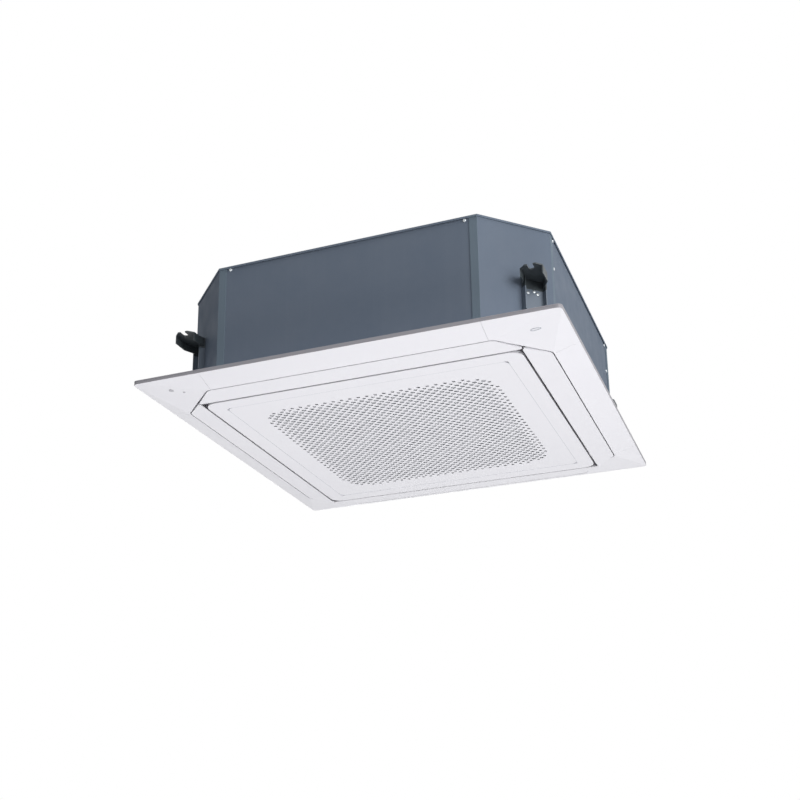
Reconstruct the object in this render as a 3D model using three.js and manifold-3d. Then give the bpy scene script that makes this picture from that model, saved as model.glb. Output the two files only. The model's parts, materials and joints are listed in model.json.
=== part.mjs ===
// Ceiling cassette air conditioner: a square four-way unit that hangs above a false ceiling.
// Millimetres, +Z up. The origin is the unit's centre in the plane of the ceiling, which is the
// top of the panel's rim. -Y is the front, +X the right. The panel hangs below the origin, the
// body stands above it.

import * as THREE from 'three';
import { mergeVertices } from 'three/addons/utils/BufferGeometryUtils.js';
import { ConvexGeometry } from 'three/addons/geometries/ConvexGeometry.js';
import Module from 'manifold-3d';

const kernel = await Module();
kernel.setup();

// ---- driving dimensions ----------------------------------------------------------------

const GAP = 0.3;                    // between pieces that touch
const RUN = 0.5;                    // radial clearance round a turning pin

// Panel
const PANEL_WIDTH = 950;            // square decoration panel
const PANEL_RIM = 8.5;              // upright edge under the ceiling
const PANEL_ROUND = 10;             // its corners in plan
const PANEL_SLOPE = 17;             // fall of the border from rim to outlet ring
const PANEL_BORDER = 54.5;          // width of the border
const PANEL_SKIN = 2.5;
const FLANGE = 2.5;                 // flat top of the border, against the ceiling
const RING_CORNER = 98;             // legs of the outlet ring's cut corners
const RING_ROUND = 8;               // rounding of those corners, along each edge
const RING_SLOPE = 5;               // fall from outlet ring to grille
const RING_WALL = 4.5;              // upright wall round the ring
const CORNER_WALL = 3;              // the same across a cut corner
const CORNER_UNDERCUT = 2.8;        // room behind the lip for a turning vane's tip
const LIP = 3.5;                    // height of that lip
const SEAT_RISE = 4.8;              // frame's walls end this far above the ring's edge
const FLOOR_LEVEL = 5;              // underside of the frame's floor
const FLOOR = 3;
const COVER_LEG = 162;              // corner cover, along the panel's edge
const COVER_WALL = 2;
const SEAM = 0.5;                   // visible joint between cover and frame
const BOSS_RADIUS = 7;              // fixing boss over each corner
const BOSS_INSET = 10.5;            // from the ring's outer edge
const BOSS_HEIGHT = 15;

// Air outlets and vanes
const OUTLET_WIDTH = 42;
const OUTLET_END = 170.5;           // outlet's end, from the ring's outer edge
const OUTLET_INSET = 20.5;          // from the ring's outer edge
const VANE_GAP_OUTER = 2.5;
const VANE_GAP_INNER = 5;
const VANE_MITRE_GAP = 5;
const VANE_WIDTH = 50.5;
const VANE_EDGE = 2.2;              // thickness at the long edges
const VANE_CROWN = 5;               // thickness in the middle
const VANE_AXIS_INSET = 28.5;       // pivot from the ring's outer edge
const VANE_AXIS_RISE = 8.5;         // pivot above the ring's outer edge
const VANE_PIN = 2.5;               // pin radius
const VANE_BLOCK = 8;               // block that carries the pin, across
const VANE_BLOCK_LENGTH = 35;

// Vane motors
const MOTOR_LUG = 3;
const MOTOR_LUG_WIDTH = 22;
const MOTOR_CAN_RADIUS = 10;
const MOTOR_CAN_LENGTH = 13.5;
const MOTOR_ROOM = 1.5;             // can's plug below the floor
const MOTOR_PLUG = 1.5;             // plug above the can
const MOTOR_SHAFT = 2;
const MOTOR_CLEAR = 19;             // lug from the corner wall, along the pivot

// Intake grille and filter
const GRILLE_ROUND = 26;
const GRILLE_BORDER = 37.5;         // frame's visible width round the perforated plate
const GRILLE_SHEET = 3;
const GRILLE_LIP = 2.5;             // turned-up edge
const LEDGE_WIDTH = 10;             // carries plate and filter
const LEDGE = 2.9;
const RIB_HEIGHT = 11.5;            // locates the filter
const RIB = 3;
const PLATE = 2.1;
const PLATE_ROUND = 16;
const HOLE_ROWS = 6;                // holes on a side of the outer grid
const HOLE_PITCH = 101;
const HOLE_RADIUS = 17;
const FILTER_RING = 12;
const FILTER_HEIGHT = 6;
const FILTER_BARS = 3;
const FILTER_BAR = 3;
const FILTER_SHEET = 0.8;
const INTAKE_ROOM = 5;              // opening in the frame's floor, round the plate
const INTAKE_ROUND = 20;
const HINGE_INSET = 12.5;           // grille's pivot from its edge
const HINGE_RISE = 8.5;             // and above its face
const HINGE_PIN = 2.5;
const HINGE_LUG_RADIUS = 4.5;
const HINGE_LUG = 5;
const HINGE_KNUCKLE = 16;
const HINGE_SPREAD = 220;           // hinges from the centre line
const LATCH_ROOM = 40;              // latches beyond the outlet's end
const LATCH_WIDTH = 26;
const LATCH_BODY = 11;
const LATCH_TONGUE = 6;
const LATCH_TONGUE_HEIGHT = 3;
const LATCH_RISE = 10.5;            // tongue above the grille's face
const LATCH_INSET = 10.5;           // latch body from the grille's edge
const LATCH_BITE = 4.5;             // tongue over its keeper
const KEEPER = 3;

// Body
const BODY_OVERLAP = 52;            // panel's edge to the body's side
const BODY_CORNER = 124;            // legs of the body's cut corners
const BODY_BASE = 14;               // underside above the ceiling plane
const BODY_HEIGHT = 250;
const SHEET = 1.2;                  // casing sheet
const CORNER_FLANGE = 17;           // corner sheet's wrap round onto each side
const BASE_FLANGE = 10;             // inward flange at the foot of each side
const TOP_SHEET = 1.5;
const TOP_LIP = 3;
const BEAD_HEIGHT = 3;              // stiffening beads pressed in the top
const BEAD_WIDTH = 16;
const BEAD_RING = 150;
const BEADS = 8;
const LINER = 19;                   // insulation on the sides
const LINER_TOP = 10;

// Hanger brackets
const BOLT_INSET_X = 23;            // hanging bolts, from the body's sides
const BOLT_INSET_Y = 35;
const BOLT_SLOT = 12;               // slot width
const EAR_LEVEL = 136;              // underside of the ear above the ceiling
const EAR = 3;
const EAR_MARGIN = 18;              // metal beside the slot
const EAR_REACH = 14;               // ear beyond the bolt
const EAR_CORNER = 12;
const EAR_FLANGE = 17;
const BRACKET_SHEET = 2.5;
const BRACKET_NEAR = 11;            // legs along the cut corner, from its middle
const BRACKET_FAR = 63;
const BRACKET_DEPTH = 14;
const BRACKET_FOOT = 62;            // lower end above the ceiling

// Drain pan, coil and pipes
const PAN_HEIGHT = 46;
const PAN_EDGE = 18;                // pan's opening, inside the coil
const PAN_ROUND = 60;
const TROUGH_DEPTH = 34;
const TROUGH_ROOM = 8;              // beside the coil
const PAN_SLOT_SHIFT = 8;           // pan's slots inward of the panel's
const COIL_DEPTH = 40;
const COIL_FROM_OUTLET = 38;        // coil's outer face to the panel's outlet
const COIL_ROUND = 80;
const COIL_OPEN = 105;              // coil's open corner, back from its outer face
const TUBE_SHEET = 2;
const BEND_RADIUS = 9.5;
const TUBE = 4;
const BEND_PITCH = 40;
const HEADER = 8;
const GAS_PIPE = 8;
const LIQUID_PIPE = 4.8;
const PIPE_STUB = 34;               // outside the casing
const GAS_LEVEL = 140;
const LIQUID_LEVEL = 112;
const DRAIN_DROP = 58;              // drain spigot below the top
const DRAIN_RADIUS = 16;
const PORT_WALL = 2.5;
const PORT_DEPTH = 14;

// Fan, motor and bell mouth
const FAN_RADIUS = 232;
const FAN_EYE = 158;
const FAN_LIP = 74;                 // shroud's lower lip above the ceiling
const FAN_SHROUD_RISE = 56;
const FAN_TOP_ROOM = 36;            // hub plate below the insulation
const FAN_WALL = 2.6;
const FAN_BLADES = 7;
const FAN_BLADE_SWEEP = 40;         // degrees
const BLADE_THICKNESS = 7;
const FAN_SEGMENTS = 28;
const CUP_TOP = 86;
const CUP_BOTTOM = 66;
const CUP_DEPTH = 72;
const SHAFT = 6;
const HUB_BOSS = 14;
const HUB_BOSS_HEIGHT = 14;
const NUT = 11;
const NUT_HEIGHT = 11;
const MOTOR_RADIUS = 58;
const MOTOR_FLANGE = 92;
const MOTOR_FLANGE_SHEET = 6;
const MOTOR_CUP_ROOM = 16;          // motor's end above the cup's floor
const BELL_THROAT = 150;
const BELL_MOUTH = 188;
const BELL_WALL = 2.5;
const BELL_RISE = 50;
const BELL_OVERLAP = 10;            // throat inside the fan's lip
const BELL_PLATE = 2;
const BELL_LAP = 12;                // plate under the drain pan

const MOTOR_BORE = 9;
const LINER_MOTOR_ROOM = 4;

// Electrical box
const BOX_WIDTH = 58;
const BOX_LENGTH = 340;
const BOX_HEIGHT = 54;
const BOX_WALL = 2;
const BOX_ROOM = 4;                 // to the pan's opening
const BOX_BASE = -10;
const BOARD_LEVEL = 20;
const BOARD = 1.6;

// Drain pump
const PUMP_RADIUS = 26;
const PUMP_BASE = 30;
const PUMP_DROP = 64;               // pump's motor below the top
const NOZZLE = 14;
const NOZZLE_BORE = 11;
const IMPELLER = 8;
const FLOAT_OUTER = 9;
const FLOAT_HEIGHT = 10;
const STEM = 3;
const PUMP_CAN = 60;
const NOZZLE_DROP = 30;             // nozzle below the pan's rim
const DRAIN_HOSE = 9;

// Small pieces
const WINDOW_INSET = [73, 41];      // from the panel's edges, in the left front corner
const WINDOW = 4.9;
const LAMP_INSET = [98, 53];
const LAMP = 2.8;
const LENS_PROUD = 0.4;
const LENS_DEPTH = 8;
const SEAL_EDGE = 8;
const COUPLING = 5;                 // vane's pin stops short of the motor's lug
const MOTOR_EAR = 1.5;
const CABLE_X = 200;
const CABLE_DROP = 59;              // cable port below the top
const CABLE_PORT = 14;
const PIPE_ROOM = 10;               // window round the pipes
const TROUGH_ROUND = 40;
const HEADER_BASE = 66;
const HEADER_DROP = 38;             // header's end below the top
const FEEDERS = 4;
const FEEDER = 2.5;
const NUT_WALL = 5;
const NUT_LENGTH = 18;

// ---- places worked out from them -------------------------------------------------------

const PANEL_HALF = PANEL_WIDTH / 2;
const RING_HALF = PANEL_HALF - PANEL_BORDER;
const RING_SUM = 2 * RING_HALF - RING_CORNER;           // |x| + |y| on a cut corner
const RING_LEVEL = -PANEL_RIM - PANEL_SLOPE;
const GRILLE_LEVEL = RING_LEVEL - RING_SLOPE;
const FLOOR_TOP = FLOOR_LEVEL + FLOOR;
const COVER_CUT = PANEL_HALF - COVER_LEG;
const OUTLET_HALF_LENGTH = RING_HALF - OUTLET_END;
const WINDOW_AT = WINDOW_INSET.map((inset) => PANEL_HALF - inset);
const LAMP_AT = LAMP_INSET.map((inset) => PANEL_HALF - inset);
const VANE_OUTER = RING_HALF - VANE_GAP_OUTER;
const VANE_INNER = VANE_OUTER - VANE_WIDTH;
const GRILLE_HALF = VANE_INNER - VANE_GAP_INNER;
const VANE_AXIS = RING_HALF - VANE_AXIS_INSET;
const VANE_AXIS_LEVEL = RING_LEVEL + VANE_AXIS_RISE;
const OUTLET_OUTER = RING_HALF - OUTLET_INSET;
const OUTLET_INNER = OUTLET_OUTER - OUTLET_WIDTH;
const WALL_SUM = RING_SUM + CORNER_UNDERCUT * Math.SQRT2;
const WALL_SUM_OUT = WALL_SUM + CORNER_WALL * Math.SQRT2;
const PIVOT_WALL = WALL_SUM - VANE_AXIS;                // x where the pivot meets the corner wall
const LUG_NEAR = PIVOT_WALL + MOTOR_CLEAR - MOTOR_LUG;
const LUG_FAR = LUG_NEAR + MOTOR_LUG;
const MOTOR_LEVEL = FLOOR_LEVEL - MOTOR_ROOM - MOTOR_PLUG - MOTOR_CAN_RADIUS;

const PLATE_HALF = GRILLE_HALF - GRILLE_BORDER;
const INTAKE_HALF = PLATE_HALF + INTAKE_ROOM;
const GRILLE_TOP = GRILLE_LEVEL + GRILLE_SHEET;
const PLATE_LEVEL = GRILLE_LEVEL + 0.2;
const LEDGE_LEVEL = PLATE_LEVEL + PLATE + GAP;
const LEDGE_TOP = LEDGE_LEVEL + LEDGE;
const RIB_HALF = PLATE_HALF + RIB + 2;
const FILTER_HALF = PLATE_HALF - 7;
const FILTER_LEVEL = LEDGE_TOP + GAP;
const HINGE_Y = GRILLE_HALF - HINGE_INSET;
const HINGE_LEVEL = GRILLE_LEVEL + HINGE_RISE;
const LATCH_FRONT = GRILLE_HALF - LATCH_INSET;
const LATCH_SPREAD = OUTLET_HALF_LENGTH + LATCH_ROOM;
const TONGUE_LEVEL = GRILLE_LEVEL + LATCH_RISE;

const BODY_HALF = PANEL_HALF - BODY_OVERLAP;
const BODY_DIAG = (2 * BODY_HALF - BODY_CORNER) / Math.SQRT2;   // centre to a cut corner
const BODY_TOP = BODY_BASE + BODY_HEIGHT;
const BOLT_X = BODY_HALF - BOLT_INSET_X;
const BOLT_Y = BODY_HALF - BOLT_INSET_Y;
const DRAIN_LEVEL = BODY_TOP - DRAIN_DROP;
const CABLE_LEVEL = BODY_TOP - CABLE_DROP;
const PUMP_TOP = BODY_TOP - PUMP_DROP;
const HEADER_TOP = BODY_TOP - HEADER_DROP;
const WALL_TOP = BODY_TOP - TOP_SHEET - GAP;
const SIDE_OUT = BODY_HALF - SHEET - GAP;
const SIDE_IN = SIDE_OUT - SHEET;
const LINER_HALF = SIDE_IN - GAP;
const LINER_DIAG = BODY_DIAG - SHEET - GAP;
const LINER_IN = LINER_HALF - LINER;
const LINER_IN_DIAG = LINER_DIAG - LINER;
const CEILING_IN = WALL_TOP - LINER_TOP;                // underside of the top insulation
const BEAD_ROOM = 30;                                   // bead's end to the plate's edge

const COIL_OUT = OUTLET_INNER - COIL_FROM_OUTLET;
const COIL_IN = COIL_OUT - COIL_DEPTH;
const COIL_END = COIL_OUT - COIL_OPEN;
const PAN_HALF_OPENING = COIL_IN - PAN_EDGE;
const PAN_TOP = BODY_BASE + PAN_HEIGHT;
const TROUGH_FLOOR = PAN_TOP - TROUGH_DEPTH;
const COIL_BASE = TROUGH_FLOOR + GAP;
const COIL_TOP = CEILING_IN - GAP;
const BEND_SPAN = COIL_TOP - COIL_BASE - 2 * (BEND_RADIUS + TUBE);
const BENDS = Math.floor(BEND_SPAN / BEND_PITCH) + 1;

const HUB_LEVEL = CEILING_IN - FAN_TOP_ROOM;
const CUP_FLOOR = HUB_LEVEL - CUP_DEPTH;
const MOTOR_END = CUP_FLOOR + MOTOR_CUP_ROOM;
const BELL_BASE = BODY_BASE - GAP - BELL_PLATE;
const BELL_TOP = FAN_LIP + BELL_OVERLAP;
const BOX_X = -PAN_HALF_OPENING + BOX_ROOM;             // box's outer side

// The open corner of the coil, at the left back, holds header, pump and float.
const HEADER_X = -COIL_END - 47;
const HEADER_Y = COIL_OUT - 26;
const LIQUID_X = HEADER_X + 12;
const LIQUID_Y = HEADER_Y + 24;
const PUMP_X = -COIL_OUT + 12;
const PUMP_Y = COIL_END + 61;
const FLOAT_X = PUMP_X + 14;
const FLOAT_Y = PUMP_Y + 34;

// ---- materials -------------------------------------------------------------------------

function material(color, roughness, metalness) {
  return new THREE.MeshStandardMaterial({ color, roughness, metalness });
}

const STEEL = material(0x75838f, 0.5, 0.6);
const BRACKET_STEEL = material(0x3a444b, 0.55, 0.6);
const WHITE = material(0xe8e7ea, 0.45, 0);
const GREY_PLASTIC = material(0xb9bcc2, 0.55, 0);
const DARK_PLASTIC = material(0x33373b, 0.6, 0);
const LENS = material(0x23272b, 0.2, 0);
const FOAM = material(0xd5d7d9, 0.9, 0);
const FIN_STOCK = material(0xaeb7bd, 0.4, 0.8);
const COPPER = material(0xb06a42, 0.35, 0.9);
const BRASS = material(0xb59a55, 0.35, 0.9);
const ZINC = material(0x9aa2a8, 0.4, 0.8);
const BOARD_GREEN = material(0x2f6b45, 0.6, 0);
const MESH_CLOTH = material(0x6d747a, 0.8, 0);

// ---- shapes ----------------------------------------------------------------------------

function box(x0, x1, y0, y1, z0, z1) {
  const block = new THREE.BoxGeometry(x1 - x0, y1 - y0, z1 - z0);
  return block.translate((x0 + x1) / 2, (y0 + y1) / 2, (z0 + z1) / 2);
}

function prism(points, z0, z1) {
  const outline = new THREE.Shape(points.map(([x, y]) => new THREE.Vector2(x, y)));
  const block = new THREE.ExtrudeGeometry(outline, { depth: z1 - z0, bevelEnabled: false });
  return block.translate(0, 0, z0);
}

function disc(radius, z0, z1, segments = 32, x = 0, y = 0) {
  const round = new THREE.CylinderGeometry(radius, radius, z1 - z0, segments);
  return round.rotateX(Math.PI / 2).translate(x, y, (z0 + z1) / 2);
}

function rod(radius, from, to, segments = 16) {
  const start = new THREE.Vector3(...from);
  const run = new THREE.Vector3(...to).sub(start);
  const round = new THREE.CylinderGeometry(radius, radius, run.length(), segments);
  const up = new THREE.Vector3(0, 1, 0);
  round.applyQuaternion(new THREE.Quaternion().setFromUnitVectors(up, run.clone().normalize()));
  const middle = start.addScaledVector(run, 0.5);
  return round.translate(middle.x, middle.y, middle.z);
}

// Profile points are [radius, height].
function revolve(profile, segments) {
  const points = profile.map(([r, z]) => new THREE.Vector2(r, z));
  return new THREE.LatheGeometry([...points, points[0].clone()], segments).rotateX(Math.PI / 2);
}

// A closed outline of the given thickness about a line of points.
function ribbon(line, thickness) {
  const sides = [[], []];
  line.forEach(([r, z], i) => {
    const [r0, z0] = line[Math.max(i - 1, 0)];
    const [r1, z1] = line[Math.min(i + 1, line.length - 1)];
    const run = Math.hypot(r1 - r0, z1 - z0);
    const [nr, nz] = [(z1 - z0) / run * thickness / 2, (r0 - r1) / run * thickness / 2];
    sides[0].push([r + nr, z + nz]);
    sides[1].unshift([r - nr, z - nz]);
  });
  return [...sides[0], ...sides[1]];
}

function square(half) {
  return [[half, half], [-half, half], [-half, -half], [half, -half]];
}

function roundedSquare(half, radius, steps = 4) {
  const points = [];
  for (let corner = 0; corner < 4; corner += 1) {
    for (let i = 0; i <= steps; i += 1) {
      const angle = (corner + i / steps) * Math.PI / 2;
      const [cx, cy] = square(half - radius)[corner];
      points.push([cx + radius * Math.cos(angle), cy + radius * Math.sin(angle)]);
    }
  }
  return points;
}

// A square with its corners cut along |x| + |y| = sum.
function cutSquare(half, sum) {
  const leg = sum - half;
  return [[half, leg], [leg, half], [-leg, half], [-half, leg],
    [-half, -leg], [-leg, -half], [leg, -half], [half, -leg]];
}

// Points of a curve that rounds one corner of an outline between its neighbours.
function rounded(before, corner, after, reach = RING_ROUND, steps = 3) {
  const toward = ([x, y]) => {
    const length = Math.hypot(x - corner[0], y - corner[1]);
    return [corner[0] + (x - corner[0]) * reach / length, corner[1] + (y - corner[1]) * reach / length];
  };
  const [from, to] = [toward(before), toward(after)];
  const points = [];
  for (let i = 0; i <= steps; i += 1) {
    const t = i / steps;
    points.push([0, 1].map((k) => (
      from[k] * (1 - t) ** 2 + 2 * corner[k] * t * (1 - t) + to[k] * t ** 2)));
  }
  return points;
}

// The outlet ring's outline: a cut square with rounded corners.
function ringOutline(half, sum) {
  const points = cutSquare(half, sum);
  const count = points.length;
  return points.flatMap((point, i) => (
    rounded(points[(i + count - 1) % count], point, points[(i + 1) % count])));
}

function turned(shape, quarters) {
  return toGeometry(shape).clone().rotateZ(quarters * Math.PI / 2);
}

function fourTimes(shape) {
  return [0, 1, 2, 3].map((quarters) => turned(shape, quarters));
}

function mirrored(shape) {
  return toGeometry(shape).clone().scale(-1, 1, 1);
}

// ---- joining and cutting ---------------------------------------------------------------

function signedVolume(position, corners) {
  const [a, b, c] = [new THREE.Vector3(), new THREE.Vector3(), new THREE.Vector3()];
  let sum = 0;
  for (let i = 0; i < corners.length; i += 3) {
    a.fromBufferAttribute(position, corners[i]);
    b.fromBufferAttribute(position, corners[i + 1]);
    c.fromBufferAttribute(position, corners[i + 2]);
    sum += a.dot(b.cross(c));
  }
  return sum / 6;
}

// Shared corners are merged, flattened triangles dropped and the faces turned outward.
function toSolid(shape) {
  if (!shape.isBufferGeometry) return shape;
  const bare = shape.clone();
  bare.deleteAttribute('normal');
  bare.deleteAttribute('uv');
  const merged = mergeVertices(bare, 1e-4);
  const { position } = merged.attributes;
  const corners = [];
  for (let i = 0; i < merged.index.count; i += 3) {
    const [a, b, c] = [0, 1, 2].map((k) => merged.index.getX(i + k));
    if (a !== b && b !== c && c !== a) corners.push(a, b, c);
  }
  if (signedVolume(position, corners) < 0) corners.reverse();
  return new kernel.Manifold(new kernel.Mesh({
    numProp: 3,
    vertProperties: new Float32Array(position.array),
    triVerts: new Uint32Array(corners),
  }));
}

function join(...shapes) {
  return shapes.flat().map(toSolid).reduce((all, next) => all.add(next));
}

function cut(base, ...tools) {
  return tools.flat().map(toSolid).reduce((rest, tool) => rest.subtract(tool), toSolid(base));
}

function common(a, b) {
  return toSolid(a).intersect(toSolid(b));
}

function toGeometry(solid) {
  if (solid.isBufferGeometry) return solid;
  const mesh = solid.getMesh();
  const shape = new THREE.BufferGeometry();
  shape.setAttribute('position', new THREE.BufferAttribute(new Float32Array(mesh.vertProperties), 3));
  shape.setIndex(new THREE.BufferAttribute(new Uint32Array(mesh.triVerts), 1));
  shape.computeVertexNormals();
  return shape;
}

const unit = new THREE.Group();

function addPiece(name, shape, finish, quarters = 0) {
  const mesh = new THREE.Mesh(toGeometry(shape), finish);
  mesh.name = name;
  mesh.rotation.z = quarters * Math.PI / 2;
  unit.add(mesh);
  return mesh;
}

// ---- panel -----------------------------------------------------------------------------

// The panel's outer form: a rounded rim, and a border of flat facets that slopes to the ring.
// Raised by a skin's thickness and drawn in, it is also the form of the hollow inside.
function panelForm(skin = 0) {
  const rim = roundedSquare(PANEL_HALF - skin, PANEL_ROUND - skin);
  const levels = [[rim, skin > 0 ? -FLANGE : 0], [rim, skin - PANEL_RIM],
    [cutSquare(RING_HALF, RING_SUM), skin + RING_LEVEL]];
  const corners = levels.flatMap(([outline, z]) => outline.map(([x, y]) => new THREE.Vector3(x, y, z)));
  return new ConvexGeometry(corners);
}

// Plan of a corner cover in the +X +Y corner, with its cut lines at "start".
function coverOutline(start, edge, ring, sum) {
  const [one, other] = [[sum - ring, ring], [ring, sum - ring]];
  return [[start, edge], [start, ring], ...rounded([start, ring], one, other),
    ...rounded(one, other, [ring, start]), [ring, start], [edge, start], [edge, edge]];
}

function panelFrame() {
  const wallHalf = RING_HALF + RING_WALL;
  const below = GRILLE_LEVEL - 1;
  const start = COVER_CUT - SEAM;
  const body = join(panelForm(), box(-wallHalf, wallHalf, -wallHalf, wallHalf, -1, FLOOR_TOP));
  const lip = prism(ringOutline(RING_HALF, RING_SUM), below, RING_LEVEL + LIP);
  const recess = prism(cutSquare(RING_HALF, WALL_SUM), RING_LEVEL + LIP - 1, FLOOR_LEVEL);
  const intake = prism(roundedSquare(INTAKE_HALF, INTAKE_ROUND), FLOOR_LEVEL - 1, FLOOR_TOP + 1);
  const outlet = box(-OUTLET_HALF_LENGTH, OUTLET_HALF_LENGTH, -OUTLET_OUTER, -OUTLET_INNER,
    FLOOR_LEVEL - 1, FLOOR_TOP + 1);
  const band = common(panelForm(PANEL_SKIN),
    box(-start - 1, start + 1, -PANEL_HALF, -wallHalf, below, -FLANGE));
  const outside = PANEL_HALF + 1;
  const pocket = prism(coverOutline(start, outside, wallHalf, WALL_SUM_OUT), below, -FLANGE);
  const seat = prism(coverOutline(start, outside, RING_HALF - 1, RING_SUM - 2),
    below, RING_LEVEL + SEAT_RISE);
  const pocketIn = wallHalf - CORNER_WALL;
  const attic = prism([[pocketIn, WALL_SUM_OUT - pocketIn], [pocketIn, pocketIn],
    [WALL_SUM_OUT - pocketIn, pocketIn]], -FLANGE - 1, FLOOR_LEVEL);
  const pinHole = rod(VANE_PIN + RUN, [PIVOT_WALL - 9, -VANE_AXIS, VANE_AXIS_LEVEL],
    [LUG_NEAR - 1, -VANE_AXIS, VANE_AXIS_LEVEL], 12);
  const lugHalf = MOTOR_LUG_WIDTH / 2;
  const lugFoot = VANE_AXIS_LEVEL - MOTOR_SHAFT - RUN - 0.9;
  const lug = bar([[-VANE_AXIS - 3, lugFoot], [-VANE_AXIS + 3, lugFoot],
    [-VANE_AXIS + lugHalf, VANE_AXIS_LEVEL + 2], [-VANE_AXIS + lugHalf, FLOOR_LEVEL + 1],
    [-VANE_AXIS - lugHalf, FLOOR_LEVEL + 1], [-VANE_AXIS - lugHalf, VANE_AXIS_LEVEL + 2]],
  LUG_NEAR, LUG_FAR);
  const shaftHole = rod(MOTOR_SHAFT + RUN, [LUG_NEAR - 1, -VANE_AXIS, VANE_AXIS_LEVEL],
    [LUG_FAR + 1, -VANE_AXIS, VANE_AXIS_LEVEL], 12);
  const bossAt = RING_HALF - BOSS_INSET;
  const boss = disc(BOSS_RADIUS, FLOOR_LEVEL - BOSS_HEIGHT, FLOOR_LEVEL + 1, 20, bossAt, bossAt);
  const bossHole = disc(BOSS_RADIUS / 2, -BOSS_HEIGHT, FLOOR_TOP + 1, 12, bossAt, bossAt);
  const shell = cut(body, lip, recess, intake, ...fourTimes(outlet), ...fourTimes(band),
    ...fourTimes(pocket), ...fourTimes(seat), ...fourTimes(attic));
  return cut(join(shell, ...fourTimes(lug), ...fourTimes(boss), hingeLugs(), latchKeepers()),
    ...fourTimes(bossHole), ...fourTimes(pinHole), ...fourTimes(mirrored(pinHole)),
    ...fourTimes(shaftHole), hingeBores());
}

function hingeLugs() {
  const upright = (x) => {
    const from = [x - HINGE_LUG / 2, HINGE_Y, HINGE_LEVEL];
    const to = [x + HINGE_LUG / 2, HINGE_Y, HINGE_LEVEL];
    return join(rod(HINGE_LUG_RADIUS, from, to, 20), box(from[0], to[0], HINGE_Y - HINGE_LUG_RADIUS,
      HINGE_Y + HINGE_LUG_RADIUS, HINGE_LEVEL, FLOOR_LEVEL + 1));
  };
  const reach = HINGE_KNUCKLE / 2 + 1 + HINGE_LUG / 2;
  const places = [HINGE_SPREAD - reach, HINGE_SPREAD + reach];
  return join(places.map(upright), places.map((x) => upright(-x)));
}

function hingeBores() {
  const reach = HINGE_KNUCKLE / 2 + HINGE_LUG + 3;
  return join([HINGE_SPREAD, -HINGE_SPREAD].map((x) => rod(HINGE_PIN + RUN,
    [x - reach, HINGE_Y, HINGE_LEVEL], [x + reach, HINGE_Y, HINGE_LEVEL], 16)));
}

// A keeper is a hook under the floor; the latch's tongue lies on its foot.
function latchKeepers() {
  const back = -GRILLE_HALF - 0.5;
  const edge = -LATCH_FRONT - LATCH_TONGUE + LATCH_BITE;
  const foot = TONGUE_LEVEL - 0.5;
  return join([LATCH_SPREAD, -LATCH_SPREAD].map((x) => {
    const [x0, x1] = [x - LATCH_WIDTH / 2 + 3, x + LATCH_WIDTH / 2 - 3];
    return join(box(x0, x1, back, back + KEEPER, foot - KEEPER, FLOOR_LEVEL + 1),
      box(x0, x1, back, edge, foot - KEEPER, foot));
  }));
}

// The cover is a thin shell. The frame's ring wall stands inside it, so its own walls stop short.
function coverShell() {
  const below = GRILLE_LEVEL - 1;
  const outline = coverOutline(COVER_CUT, PANEL_HALF + 1, RING_HALF, RING_SUM);
  const block = common(panelForm(), prism(outline, below, -FLANGE - GAP));
  const inside = COVER_CUT + COVER_WALL;
  const room = [[inside, PANEL_HALF], [inside, RING_HALF], [0, RING_HALF], [0, 0],
    [RING_HALF, 0], [RING_HALF, inside], [PANEL_HALF, inside], [PANEL_HALF, PANEL_HALF]];
  const hollow = common(panelForm(PANEL_SKIN), prism(room, below, 0));
  const loose = RING_HALF + RING_WALL + GAP;
  const wallFoot = RING_LEVEL + SEAT_RISE - GAP;
  return cut(block, hollow, box(0, inside + 1, 0, loose, wallFoot, 0),
    box(0, loose, 0, inside + 1, wallFoot, 0));
}

// The front left cover has a round window for the remote control's signal and a lamp beside it.
function lensBore(place, radius) {
  return disc(radius + GAP, GRILLE_LEVEL, 0, 20, ...place);
}

function lens(place, radius) {
  const [x, y] = place;
  const rise = PANEL_SLOPE / (2 * PANEL_HALF - RING_SUM);
  const face = RING_LEVEL + (x + y - RING_SUM) * rise;
  return turned(disc(radius, face - LENS_PROUD, face + LENS_DEPTH, 20, x, y), 2);
}

function panelSeal() {
  const [low, high] = [FLOOR_TOP + GAP, BODY_BASE - GAP];
  const outer = OUTLET_OUTER + SEAL_EDGE;
  const slot = box(-OUTLET_HALF_LENGTH, OUTLET_HALF_LENGTH, -OUTLET_OUTER,
    PAN_SLOT_SHIFT - OUTLET_INNER, low - 1, high + 1);
  return cut(prism(cutSquare(outer, outer + OUTLET_HALF_LENGTH + 2 * SEAL_EDGE), low, high),
    prism(roundedSquare(INTAKE_HALF + GAP, INTAKE_ROUND), low - 1, high + 1), ...fourTimes(slot));
}

addPiece('panel_frame', panelFrame(), WHITE);
addPiece('panel_seal', panelSeal(), DARK_PLASTIC);
const cover = coverShell();
const lensCover = cut(cover, lensBore(WINDOW_AT, WINDOW), lensBore(LAMP_AT, LAMP));
['back_right', 'back_left', 'front_left', 'front_right'].forEach((corner, quarters) => {
  addPiece(`corner_cover_${corner}`, quarters === 2 ? lensCover : cover, WHITE, quarters);
});
addPiece('receiver_window', lens(WINDOW_AT, WINDOW), LENS);
addPiece('status_lamp', lens(LAMP_AT, LAMP), LENS);

// ---- vanes and their motors ------------------------------------------------------------

// A profile in the Y-Z plane, drawn out along X.
function bar(profile, x0, x1) {
  const turn = new THREE.Matrix4().makeBasis(new THREE.Vector3(0, 1, 0),
    new THREE.Vector3(0, 0, 1), new THREE.Vector3(1, 0, 0));
  return prism(profile, x0, x1).applyMatrix4(turn);
}

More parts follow.
